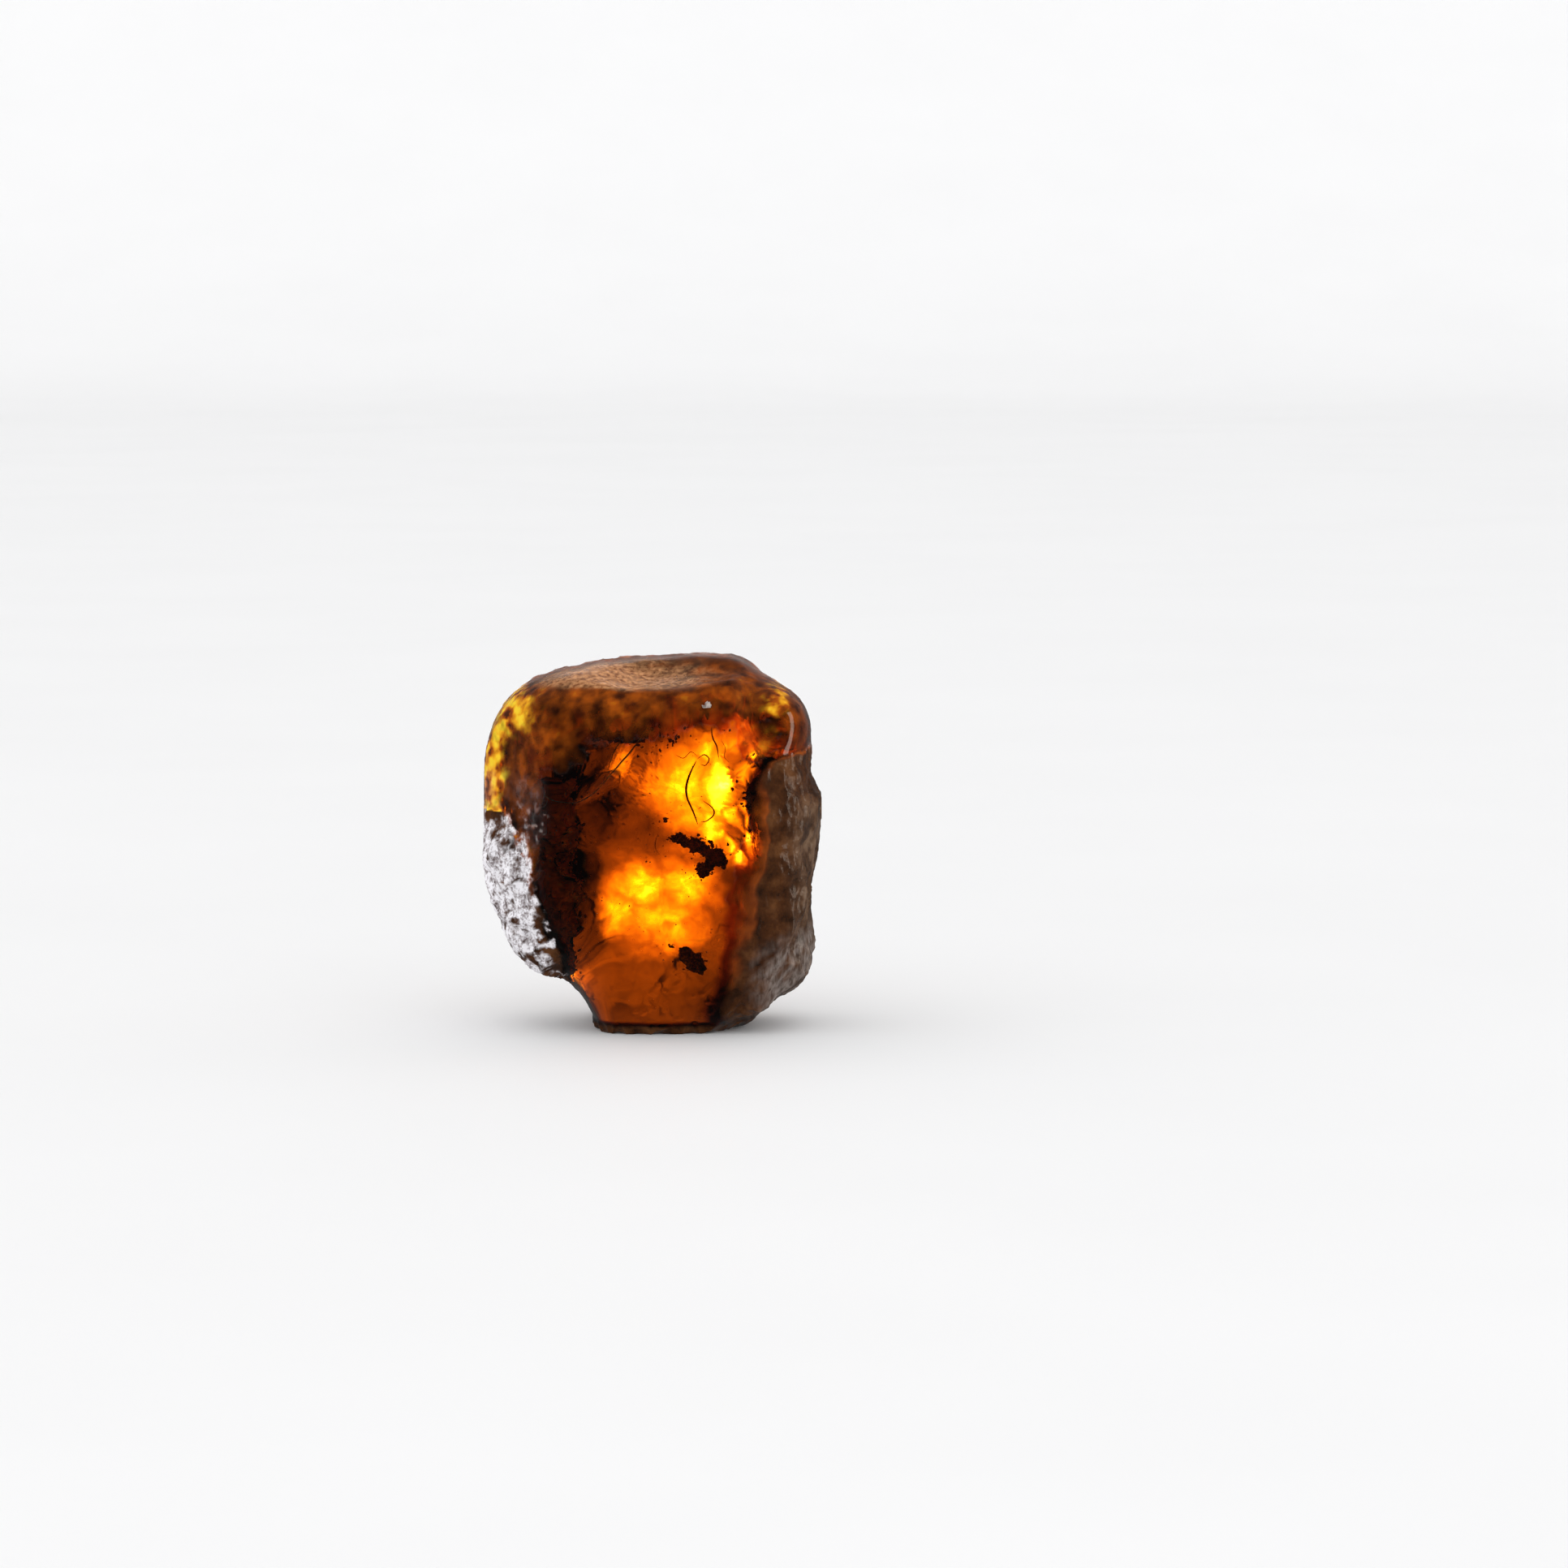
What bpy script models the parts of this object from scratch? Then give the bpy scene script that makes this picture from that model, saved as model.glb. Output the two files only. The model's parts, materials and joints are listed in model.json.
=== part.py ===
"""A raw lump of amber: one block of fossil resin, about 22 x 15 x 24 mm, under a weathered rind.

The lump stands on its broken base. +Z is up, the broad clear face looks along -Y, and the origin is
under the middle of the lump, on the surface that it rests on. Lengths are in millimetres until the
mesh is built, which is in metres.

Clots of soil and bark are sealed in the resin. Each lies in a pocket of its own shape, so the resin is
modelled in two halves that part at the plane y = PARTING, which runs through every pocket.
"""

import math

import bmesh
import bpy
import numpy as np
from mathutils import Euler, Matrix, Vector, noise

BACK_HALF = "amber_lump"
FRONT_HALF = "amber_front"
MM = 0.001

# Driving sizes of the block.
HALF_DEPTH_FRONT = 7.6
HALF_DEPTH_BACK = 7.4
BOXINESS = 2.9  # 2 is an ellipsoid, and a higher number has flatter faces and tighter shoulders
MIDDLE = (0.0, 12.4)  # x and z that the outline is drawn round

# The outline seen from the front, as (x, z), clockwise from the middle of the left side. It runs on
# below z = 0, where the base is cut off.
OUTLINE = (
    (-10.75, 13.7), (-10.85, 16.3), (-10.7, 18.2), (-10.0, 20.3), (-9.2, 21.3), (-8.1, 22.2),
    (-6.6, 22.8), (-4.7, 23.2), (-2.0, 23.5), (1.3, 23.7), (4.7, 23.9), (5.7, 23.8), (6.3, 23.2),
    (7.3, 22.6), (8.6, 21.9), (9.6, 21.1), (10.1, 20.1), (10.25, 18.9), (10.1, 17.6), (9.85, 16.8),
    (10.1, 15.8), (10.65, 14.9), (10.8, 14.2), (10.6, 13.2), (10.65, 12.4), (10.4, 11.3),
    (10.25, 10.1), (9.9, 8.8), (9.9, 7.6), (10.0, 6.5), (10.25, 5.4), (10.1, 4.2), (9.5, 3.3),
    (8.5, 2.5), (7.1, 1.6), (6.2, 0.6), (5.2, -0.8), (3.4, -1.3), (-1.6, -1.3), (-3.2, -0.6),
    (-3.9, 0.8), (-4.6, 2.3), (-5.7, 3.5), (-7.1, 4.15), (-8.4, 4.6), (-8.95, 5.5), (-9.6, 6.9),
    (-10.0, 8.0), (-10.15, 8.8), (-10.6, 9.5), (-10.8, 10.7), (-10.6, 12.2),
)
OUTLINE_SOFTNESS = math.radians(2.2)

# Broad flats that the front and back are worn to: (x slope, z slope, y where x and z are MIDDLE's).
# A front flat keeps y from going below it, and a back flat keeps y from going above it.
FRONT_FLATS = {
    "broad face": (0.05, -0.02, -7.0),
    "left flank": (-1.05, 0.12, -13.9),
    "lower left flank": (-0.90, -0.60, -15.0),
    "right flank": (1.30, 0.05, -16.9),
    "lower right bevel": (2.00, -3.30, -52.8),
    "brow under the crown": (0.03, 0.90, -15.0),
    "foot": (0.05, -0.50, -11.2),
}
BACK_FLATS = {
    "broad back": (-0.10, -0.06, 6.7),
    "left back flank": (0.80, 0.25, 12.6),
    "right back flank": (-1.00, -0.30, 14.0),
    "upper back slope": (-0.05, -0.85, 13.4),
    "low back slope": (-0.12, 0.55, 11.4),
}
FLAT_SOFTNESS = 0.45

# The rind: a raised skin on both flanks and the back. Each edge is (z, x) from the top down.
RIND_RIGHT_EDGE = ((17.4, 10.4), (16.9, 8.6), (15.6, 7.3), (13.0, 6.9), (9.5, 7.6), (6.0, 7.6), (2.0, 5.6))
RIND_LEFT_EDGE = ((13.2, -10.6), (12.3, -8.6), (9.0, -7.9), (6.5, -6.9), (3.0, -5.4))
RIND_THICKNESS = 0.45
RIND_LIP = 0.45  # width of the slope at the rind's edge
RIM_SHARE = 0.2  # how much of the relief reaches the outline, which is drawn to size already

# Low relief: (size of the lumps, height). The rind carries all of it and the clear face a little.
SWELLS = (4.6, 0.55)
KNOBS = (1.7, 0.30)
CLEAR_SHARE = 0.35

# Ridges and valleys of the front: (x, z of one end, x, z of the other, width, height)
RIDGES = (
    (9.4, 9.2, 8.6, 6.9, 0.38, 0.50),
    (8.6, 6.9, 8.7, 4.6, 0.38, 0.50),
    (10.2, 8.6, 10.3, 5.2, 0.35, 0.35),
    (6.2, 2.1, 8.5, 3.2, 0.40, 0.40),
    (8.5, 3.2, 10.1, 4.6, 0.40, 0.40),
    (8.0, 16.6, 9.6, 17.0, 0.45, 0.35),
    (7.2, 14.0, 9.6, 13.1, 0.45, 0.30),
    (6.3, 22.8, 6.3, 21.0, 0.70, -0.60),
    (6.3, 21.0, 7.1, 18.4, 0.70, -0.45),
    (9.5, 8.2, 9.5, 5.2, 0.50, -0.50),
    (-10.6, 11.6, -9.0, 9.6, 0.55, 0.35),
    (-10.2, 9.4, -8.2, 7.2, 0.60, 0.40),
    (-9.4, 7.2, -7.4, 5.4, 0.55, 0.35),
    (-8.2, 5.4, -6.2, 4.0, 0.45, 0.30),
    (-10.3, 10.4, -8.7, 8.3, 0.40, -0.30),
    (-9.7, 8.1, -7.8, 6.2, 0.40, -0.30),
)

# Broad swellings of the front: (x, z, radius, height)
DOMES = (
    (8.5, 20.6, 2.3, 0.85),
    (9.2, 14.6, 1.9, 0.55),
    (1.0, 9.0, 4.5, 0.30),
    (3.5, 18.0, 3.2, 0.20),
    (7.8, 19.4, 1.1, -0.45),
)

# Pits in the rind: (x, y, z, radius, depth)
PITS = (
    (8.9, -5.0, 5.6, 0.75, 0.75),
    (8.3, -6.2, 12.2, 0.42, 0.40),
    (9.2, -5.4, 12.0, 0.38, 0.35),
    (8.0, -6.0, 8.2, 0.45, 0.30),
    (10.9, 0.5, 8.2, 1.00, 0.60),
    (10.9, 2.8, 12.8, 0.90, 0.50),
    (-9.6, -3.4, 10.3, 0.80, 0.45),
    (-8.2, -4.8, 6.6, 0.70, 0.50),
    (-10.6, 1.5, 8.4, 1.10, 0.60),
    (-5.0, 7.0, 12.0, 1.20, 0.55),
    (5.2, 6.8, 6.5, 1.00, 0.50),
    (-2.0, 7.2, 19.8, 0.90, 0.45),
    (0.4, 7.3, 14.0, 0.80, 0.40),
)

# Shell-shaped scars, each cut by an ellipsoid: centre, radii and turn about X, Y and Z in degrees.
SCARS = {
    "crown": ((-0.2, -4.8, 28.65), (12.4, 7.6, 6.5), (4, 1, 0)),
    "crown back": ((2.6, 9.4, 27.2), (8.2, 7.6, 5.0), (-6, 0, 14)),
    "front bowl": ((-4.0, -14.2, 17.7), (7.2, 8.2, 4.4), (0, -40, 0)),
    "high window": ((3.8, 17.4, 17.4), (8.4, 11.8, 6.0), (0, -25, 0)),
    "side window": ((7.6, 15.2, 12.6), (5.6, 10.4, 5.6), (0, 25, 12)),
    "low window": ((-2.2, 17.8, 8.8), (7.6, 12.2, 5.4), (0, 15, 0)),
    "foot window": ((2.2, 14.8, 3.6), (5.0, 10.0, 4.2), (0, -10, 0)),
    "left back chip": ((-13.4, 11.6, 21.6), (9.4, 8.0, 8.2), (0, 12, 0)),
    "left back flake": ((-13.0, 10.6, 10.4), (6.8, 7.4, 8.6), (0, -12, 0)),
}

SCAR_WAVES = (3.2, 0.55)  # size and height of the waves that make a scar's rim uneven

# What is sealed in the resin. Each clot is made of lumps: (x, y, z), (radius across, deep, up), lean.
PARTING = -3.0
GAP = 0.10  # between the halves, and round each clot
CLOTS = {
    "soil_clot": (
        ((-6.1, -2.6, 15.2), (1.05, 1.30, 1.30), 10),
        ((-6.3, -2.3, 12.6), (1.20, 1.70, 1.90), -6),
        ((-5.3, -2.9, 13.0), (0.75, 1.00, 1.20), 0),
        ((-6.2, -2.3, 9.7), (1.20, 1.80, 1.90), 4),
        ((-5.2, -2.8, 9.4), (0.80, 1.10, 1.20), 12),
        ((-5.7, -2.6, 7.1), (1.10, 1.50, 1.60), 8),
        ((-5.2, -2.9, 5.2), (0.70, 1.00, 1.10), 20),
    ),
    "bark_clot_middle": (
        ((4.0, -3.1, 11.4), (0.80, 0.50, 0.40), 25),
        ((3.3, -2.9, 10.6), (0.50, 0.40, 0.34), -20),
        ((2.6, -3.0, 12.2), (0.80, 0.36, 0.24), 14),
        ((1.7, -3.0, 12.6), (0.45, 0.32, 0.24), -10),
    ),
    "bark_clot_low": (
        ((2.65, -3.0, 4.7), (0.60, 0.46, 0.42), 25),
        ((2.1, -3.1, 5.4), (0.40, 0.34, 0.26), -15),
    ),
    "bark_clot_right": (
        ((6.7, -3.0, 14.8), (0.80, 0.50, 0.32), -18),
        ((7.4, -2.9, 14.0), (0.40, 0.42, 0.60), 10),
        ((6.2, -3.0, 15.6), (0.34, 0.36, 0.80), 16),
    ),
    "bark_clot_high": (
        ((-3.3, -3.0, 19.6), (0.75, 0.50, 0.40), -25),
        ((-2.1, -3.0, 19.2), (0.85, 0.42, 0.34), 10),
        ((-0.9, -3.0, 19.1), (0.80, 0.38, 0.30), 4),
    ),
}
CLOT_VOXELS = {"soil_clot": 0.34}
CLOT_VOXEL = 0.17
CLOT_RAGGEDNESS = 0.9  # height of a clot's lumpy skin, in voxels
CLOT_TRIANGLES = {"soil_clot": 560}
CLOT_TRIANGLES_EACH = 170
CLOT_COLOURS = {"soil": (0.045, 0.016, 0.008), "bark": (0.060, 0.022, 0.010)}

GRAIN = 7  # subdivisions of the starting icosphere
VOXEL = 0.30
TRIANGLES = 5200
SETTLE_STEPS = 3


def clear_scene():
    for obj in list(bpy.data.objects):
        bpy.data.objects.remove(obj)


def collection(name, in_render=True):
    made = bpy.data.collections.new(name)
    made.hide_render = not in_render
    bpy.context.scene.collection.children.link(made)
    return made


def soft_step(value, width):
    """0 below zero and 1 above width, with a smooth rise between them."""
    share = np.clip(value / width, 0, 1)
    return share * share * (3 - 2 * share)


def soft_max(first, second, softness):
    """The larger of the two, with a rounded corner where they cross."""
    return softness * np.logaddexp(first / softness, second / softness)


def outline_reach():
    """A function that gives the outline's distance from MIDDLE at each angle."""
    points = np.array(OUTLINE) - MIDDLE
    angles = np.arctan2(points[:, 1], points[:, 0])
    order = np.argsort(angles)
    grid = np.linspace(-math.pi, math.pi, 1440, endpoint=False)
    reach = np.interp(grid, angles[order], np.hypot(*points.T)[order], period=2 * math.pi)
    gap = np.minimum(np.arange(grid.size), grid.size - np.arange(grid.size)) * (grid[1] - grid[0])
    blur = np.exp(-0.5 * (gap / OUTLINE_SOFTNESS) ** 2)
    reach = np.fft.ifft(np.fft.fft(reach) * np.fft.fft(blur / blur.sum())).real
    return lambda angle: np.interp(angle, grid, reach, period=2 * math.pi)


def boxed(directions):
    """The unit sphere's points moved out to the outline, with the front and back rounded off."""
    across, depth, up = directions.T
    ring = np.hypot(across, up)
    angle = np.arctan2(up, across)
    share = ring ** (2 / BOXINESS)
    reach = outline_reach()(angle) * share
    half_depth = np.where(depth < 0, HALF_DEPTH_FRONT, HALF_DEPTH_BACK)
    y = np.sign(depth) * np.abs(depth) ** (2 / BOXINESS) * half_depth
    return np.column_stack(
        (MIDDLE[0] + reach * np.cos(angle), y, MIDDLE[1] + reach * np.sin(angle))
    )


def worn_flat(points):
    """The front and back pressed onto their flats, along Y, so that the outline stays."""
    x, y, z = points.T
    for slope_x, slope_z, height in FRONT_FLATS.values():
        flat = height + slope_x * (x - MIDDLE[0]) + slope_z * (z - MIDDLE[1])
        y = np.where(y < 1.5, soft_max(y, np.minimum(flat, 1.5), FLAT_SOFTNESS), y)
    for slope_x, slope_z, height in BACK_FLATS.values():
        flat = height + slope_x * (x - MIDDLE[0]) + slope_z * (z - MIDDLE[1])
        y = np.where(y > -1.5, -soft_max(-y, -np.maximum(flat, -1.5), FLAT_SOFTNESS), y)
    return np.column_stack((x, y, z))


def edge_at(edge, z):
    heights, places = np.array(edge[::-1]).T
    return np.interp(z, heights, places)


def rind_cover(points):
    """How much of the rind covers each point, from 0 on clear resin to 1."""
    x, y, z = points.T
    right = soft_step(x - edge_at(RIND_RIGHT_EDGE, z), RIND_LIP)
    right = right * soft_step(RIND_RIGHT_EDGE[0][0] - z, RIND_LIP)
    left = soft_step(edge_at(RIND_LEFT_EDGE, z) - x, RIND_LIP)
    left = left * soft_step(RIND_LEFT_EDGE[0][0] - z, RIND_LIP)
    back = soft_step(y - 1.0, 2.0)
    return np.maximum(np.maximum(right, left), back)


def lumpy(points, size, seed):
    """Smooth noise between -1 and 1, with lumps of about the given size."""
    shift = Vector((seed, seed * 2.7, seed * 5.1))
    return np.array([noise.noise(Vector(p) / size + shift) for p in points])


def front_relief(points):
    """The height of the ridges, valleys and swellings on the front."""
    x, y, z = points.T
    high = np.zeros(len(points))
    low = np.zeros(len(points))
    for x0, z0, x1, z1, width, rise in RIDGES:
        along = np.array((x1 - x0, z1 - z0))
        share = np.clip(((x - x0) * along[0] + (z - z0) * along[1]) / (along @ along), 0, 1)
        off = np.hypot(x - x0 - share * along[0], z - z0 - share * along[1])
        height = rise * np.exp(-((off / width) ** 2))
        high = np.maximum(high, height)
        low = np.minimum(low, height)
    for x0, z0, radius, rise in DOMES:
        high = high + rise * np.exp(-(((x - x0) ** 2 + (z - z0) ** 2) / radius ** 2))
    return (high + low) * soft_step(1.0 - y, 2.0)


def pit_depth(points):
    depth = np.zeros(len(points))
    for x, y, z, radius, deep in PITS:
        off = np.linalg.norm(points - (x, y, z), axis=1)
        depth = np.maximum(depth, deep * np.exp(-((off / radius) ** 2)))
    return depth


def weathered(points, normals):
    """The rind, its relief, ridges and pits raised along the normals."""
    cover = rind_cover(points)
    share = CLEAR_SHARE + (1 - CLEAR_SHARE) * cover
    swell = SWELLS[1] * lumpy(points, SWELLS[0], 1.3) * share
    knob = KNOBS[1] * lumpy(points, KNOBS[0], 4.1) * cover
    broad = RIND_THICKNESS * cover + swell + front_relief(points)
    inside = RIM_SHARE + (1 - RIM_SHARE) * soft_step(np.abs(normals[:, 1]), 0.7)
    rise = broad * inside + knob * (0.5 + 0.5 * inside) - pit_depth(points)
    return points + normals * rise[:, None]


def vertex_normals(mesh):
    return np.array([v.normal for v in mesh.verts])


def place(mesh, points):
    for vertex, point in zip(mesh.verts, points):
        vertex.co = point
    mesh.normal_update()


def linked(name, mesh, where):
    """An object made from the bmesh, which is freed."""
    data = bpy.data.meshes.new(name)
    mesh.to_mesh(data)
    mesh.free()
    made = bpy.data.objects.new(name, data)
    where.objects.link(made)
    return made


def applied(obj):
    """The object's mesh with its modifiers applied."""
    graph = bpy.context.evaluated_depsgraph_get()
    return bpy.data.meshes.new_from_object(obj.evaluated_get(graph))


def add_even_skin(obj, size):
    skin = obj.modifiers.new("even skin", "REMESH")
    skin.mode = "VOXEL"
    skin.voxel_size = size


def block(where):
    """The block before its scars are cut, in metres."""
    mesh = bmesh.new()
    bmesh.ops.create_icosphere(mesh, subdivisions=GRAIN, radius=1)
    directions = np.array([v.co for v in mesh.verts])
    place(mesh, worn_flat(boxed(directions)))
    worn = linked("worn block", mesh, where)
    add_even_skin(worn, VOXEL)
    mesh = bmesh.new()
    mesh.from_mesh(applied(worn))
    bpy.data.objects.remove(worn)
    mesh.normal_update()
    points = np.array([v.co for v in mesh.verts])
    place(mesh, weathered(points, vertex_normals(mesh)))
    bmesh.ops.scale(mesh, vec=(MM, MM, MM), verts=mesh.verts)
    return linked("block", mesh, where)


def scar_cutter(name, centre, radii, turn, where):
    """A wavy ellipsoid whose size and turn are in its mesh."""
    mesh = bmesh.new()
    bmesh.ops.create_icosphere(mesh, subdivisions=5, radius=1)
    size = Matrix.Diagonal((*radii, 1))
    turned = Euler([math.radians(angle) for angle in turn]).to_matrix().to_4x4()
    bmesh.ops.transform(mesh, matrix=Matrix.Translation(centre) @ turned @ size, verts=mesh.verts)
    mesh.normal_update()
    points = np.array([v.co for v in mesh.verts])
    waves = SCAR_WAVES[1] * lumpy(points, SCAR_WAVES[0], 7.7)
    place(mesh, points + vertex_normals(mesh) * waves[:, None])
    bmesh.ops.scale(mesh, vec=(MM, MM, MM), verts=mesh.verts)
    return cutter(name, mesh, where)


def below_base(where):
    """A slab under z = 0, which leaves the lump its flat base."""
    mesh = bmesh.new()
    bmesh.ops.create_cube(mesh, size=0.06, matrix=Matrix.Translation((0, 0, -0.03)))
    return cutter("below_base", mesh, where)


def cutter(name, mesh, where):
    made = linked(name, mesh, where)
    made.hide_render = True
    made.display_type = "WIRE"
    return made


def cut(obj, tool):
    modifier = obj.modifiers.new(tool.name, "BOOLEAN")
    modifier.operation = "DIFFERENCE"
    modifier.solver = "EXACT"
    modifier.object = tool


def clot(name, lumps, where):
    """Lumps of soil or bark grown together under one ragged skin, in metres."""
    mesh = bmesh.new()
    for centre, radii, lean in lumps:
        size = Matrix.Diagonal((*radii, 1))
        leaning = Matrix.Rotation(math.radians(lean), 4, "Y")
        place_in = Matrix.Translation(centre) @ leaning @ size
        bmesh.ops.create_icosphere(mesh, subdivisions=4, radius=1, matrix=place_in)
    rough = linked("rough clot", mesh, where)
    voxel = CLOT_VOXELS.get(name, CLOT_VOXEL)
    add_even_skin(rough, voxel)
    mesh = bmesh.new()
    mesh.from_mesh(applied(rough))
    bpy.data.objects.remove(rough)
    mesh.normal_update()
    points = np.array([v.co for v in mesh.verts])
    ragged = CLOT_RAGGEDNESS * voxel * lumpy(points, 3.5 * voxel, 9.3)
    place(mesh, points + vertex_normals(mesh) * ragged[:, None])
    bmesh.ops.scale(mesh, vec=(MM, MM, MM), verts=mesh.verts)
    made = linked(name, mesh, where)
    thin_out(made, CLOT_TRIANGLES.get(name, CLOT_TRIANGLES_EACH))
    return made


def pocket(made, where):
    """A cutter that is larger than the clot by the gap on every side."""
    mesh = bmesh.new()
    mesh.from_mesh(applied(made))
    mesh.normal_update()
    points = np.array([v.co for v in mesh.verts])
    place(mesh, points + vertex_normals(mesh) * GAP * MM)
    return cutter(made.name + "_pocket", mesh, where)


def other_side(name, side, where):
    """A slab that takes away all that lies beyond the parting, in front (-1) or behind (1)."""
    mesh = bmesh.new()
    depth = (PARTING + side * (30 - GAP / 2)) * MM
    bmesh.ops.create_cube(mesh, size=0.06, matrix=Matrix.Translation((0, depth, 0)))
    return cutter(name, mesh, where)


def settle(obj):
    """An even skin over the cut block, with the scars' rims worn a little."""
    add_even_skin(obj, VOXEL * MM)
    wear = obj.modifiers.new("worn rims", "SMOOTH")
    wear.factor = 0.5
    wear.iterations = SETTLE_STEPS


def thin_out(obj, triangles):
    """Fewer triangles on the flats, and as many as the rims need."""
    dense = applied(obj)
    dense.calc_loop_triangles()
    less = obj.modifiers.new("fewer triangles", "DECIMATE")
    less.ratio = triangles / len(dense.loop_triangles)
    less.use_collapse_triangulate = True


def material(name, colour, roughness, ior):
    made = bpy.data.materials.new(name)
    made.use_nodes = True
    shader = made.node_tree.nodes["Principled BSDF"]
    shader.inputs["Base Color"].default_value = (*colour, 1)
    shader.inputs["Roughness"].default_value = roughness
    shader.inputs["Metallic"].default_value = 0.0
    shader.inputs["IOR"].default_value = ior
    return made


def plan_middle(data):
    """The middle of the mesh's box, seen from above."""
    corners = np.array([v.co for v in data.vertices])
    middle = (corners.min(0) + corners.max(0)) / 2
    return Vector((middle[0], middle[1], 0))


def finished(name, data, middle, finish, where):
    """A piece whose mesh is shifted so that the whole lump's box is centred over the origin."""
    data.transform(Matrix.Translation(-middle))
    data.shade_smooth()
    data.materials.clear()
    data.materials.append(finish)
    made = bpy.data.objects.new(name, data)
    where.objects.link(made)
    return made


def main():
    clear_scene()
    lump = collection("raw amber")
    tools = collection("cutters", in_render=False)
    whole = block(lump)
    for name, (centre, radii, turn) in SCARS.items():
        cut(whole, scar_cutter(name, centre, radii, turn, tools))
    settle(whole)
    thin_out(whole, TRIANGLES)
    cut(whole, below_base(tools))
    middle = plan_middle(applied(whole))

    rough_clots = [clot(name, lumps, tools) for name, lumps in CLOTS.items()]
    for made in rough_clots:
        cut(whole, pocket(made, tools))
    resin = material("amber", (0.55, 0.16, 0.015), roughness=0.28, ior=1.54)
    for name, side in ((BACK_HALF, -1), (FRONT_HALF, 1)):
        parting = other_side(name + "_parting", side, tools)
        cut(whole, parting)
        finished(name, applied(whole), middle, resin, lump)
        whole.modifiers.remove(whole.modifiers[parting.name])
    bpy.data.objects.remove(whole)

    finishes = {kind: material(kind, colour, 0.85, 1.5) for kind, colour in CLOT_COLOURS.items()}
    for made in rough_clots:
        name = made.name
        made.name = "rough_" + name
        finished(name, applied(made), middle, finishes[name.split("_")[0]], lump)
        bpy.data.objects.remove(made)


main()
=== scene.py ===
"""A raw lump of amber on a pale table.

Clear golden resin under a weathered rind, with broken windows on its back that let the light in, and
with bark, threads and cracks sealed in it. Lengths are in millimetres until a mesh is finished.
"""

import json
import math
import random

import bmesh
import bpy
import numpy as np
from mathutils import Euler, Matrix, Vector, noise
from mathutils.bvhtree import BVHTree
from mathutils.kdtree import KDTree

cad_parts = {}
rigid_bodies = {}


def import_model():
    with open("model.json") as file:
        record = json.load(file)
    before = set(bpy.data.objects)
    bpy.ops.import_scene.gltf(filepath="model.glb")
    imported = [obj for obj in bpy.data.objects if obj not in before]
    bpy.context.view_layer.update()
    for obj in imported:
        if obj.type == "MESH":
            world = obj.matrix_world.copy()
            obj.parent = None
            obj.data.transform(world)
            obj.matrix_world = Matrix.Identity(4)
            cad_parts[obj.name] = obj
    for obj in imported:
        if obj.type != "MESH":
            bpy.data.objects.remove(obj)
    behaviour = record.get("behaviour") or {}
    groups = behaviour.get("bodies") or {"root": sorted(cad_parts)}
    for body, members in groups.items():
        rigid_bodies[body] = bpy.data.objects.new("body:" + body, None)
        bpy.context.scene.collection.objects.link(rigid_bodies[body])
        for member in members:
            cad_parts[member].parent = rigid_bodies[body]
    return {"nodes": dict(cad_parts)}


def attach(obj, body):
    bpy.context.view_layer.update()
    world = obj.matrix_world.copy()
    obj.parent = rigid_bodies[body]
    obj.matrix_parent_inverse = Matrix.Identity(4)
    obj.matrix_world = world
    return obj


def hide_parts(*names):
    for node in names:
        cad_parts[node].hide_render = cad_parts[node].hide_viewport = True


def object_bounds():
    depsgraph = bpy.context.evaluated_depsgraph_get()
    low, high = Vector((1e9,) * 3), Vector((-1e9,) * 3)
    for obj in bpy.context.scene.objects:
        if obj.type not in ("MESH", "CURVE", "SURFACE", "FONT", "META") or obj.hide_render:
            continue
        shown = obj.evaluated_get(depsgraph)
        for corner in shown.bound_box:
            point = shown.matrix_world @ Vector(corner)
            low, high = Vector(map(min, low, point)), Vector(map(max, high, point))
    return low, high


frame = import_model()
cad_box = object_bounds()

MM = 0.001
RESIN_HALVES = ("amber_lump", "amber_front")
SOIL_CLOTS = ("soil_clot",)
BARK_CLOTS = ("bark_clot_middle", "bark_clot_low", "bark_clot_right", "bark_clot_high")
BODY = "root"
RESIN_IOR = 1.54
RESIN_TINT = (0.95, 0.74, 0.0, 1)
RESIN_DENSITY = 300.0  # how strongly the resin's inside takes up what its tint lacks
FACE_Y = -7.0  # where the broad clear face lies

# The camera looks a little down on the broad face, and the lump is left of the middle of its frame.
EYE = Vector((8.47, -397.4, 57.4))
LOOK_DOWN = math.radians(6.0)
LENS = 141.6
SENSOR = 36.0

SKIN_SIZE = 0.155  # size of the faces on the lump's fine skin
SKIN_SMOOTHING = 22
MERGE_DISTANCE = 1e-7  # in metres
PARTING_SLACK = 0.01
BOX_MARGIN = 0.001  # how far the skin stays inside the solids' box
RIND_FADE = 1.0  # width over which the rind's edge thins out
SEED = 4107

FLOOR_SIZE = 0.9  # in metres, from the middle to the edges
FLOOR_BEND = 0.5  # in metres, the radius of the curve behind
FLOOR_STEPS = 32
PAPER = (0.94, 0.94, 0.945)

BACK_RADIANCE = 15.0
LEFT_RADIANCE = 4.0
RIGHT_RADIANCE = 3.0
WARM = (1.0, 0.86, 0.72)
ROOM_LIGHT = 1.12
ROOM_GLOSS = (-0.7, 0.6, 0.03, 0.10)  # the room's light in gloss, from in front to behind
RESIN_LIGHT = 0.9  # the room's light on what is sealed in the resin

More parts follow.
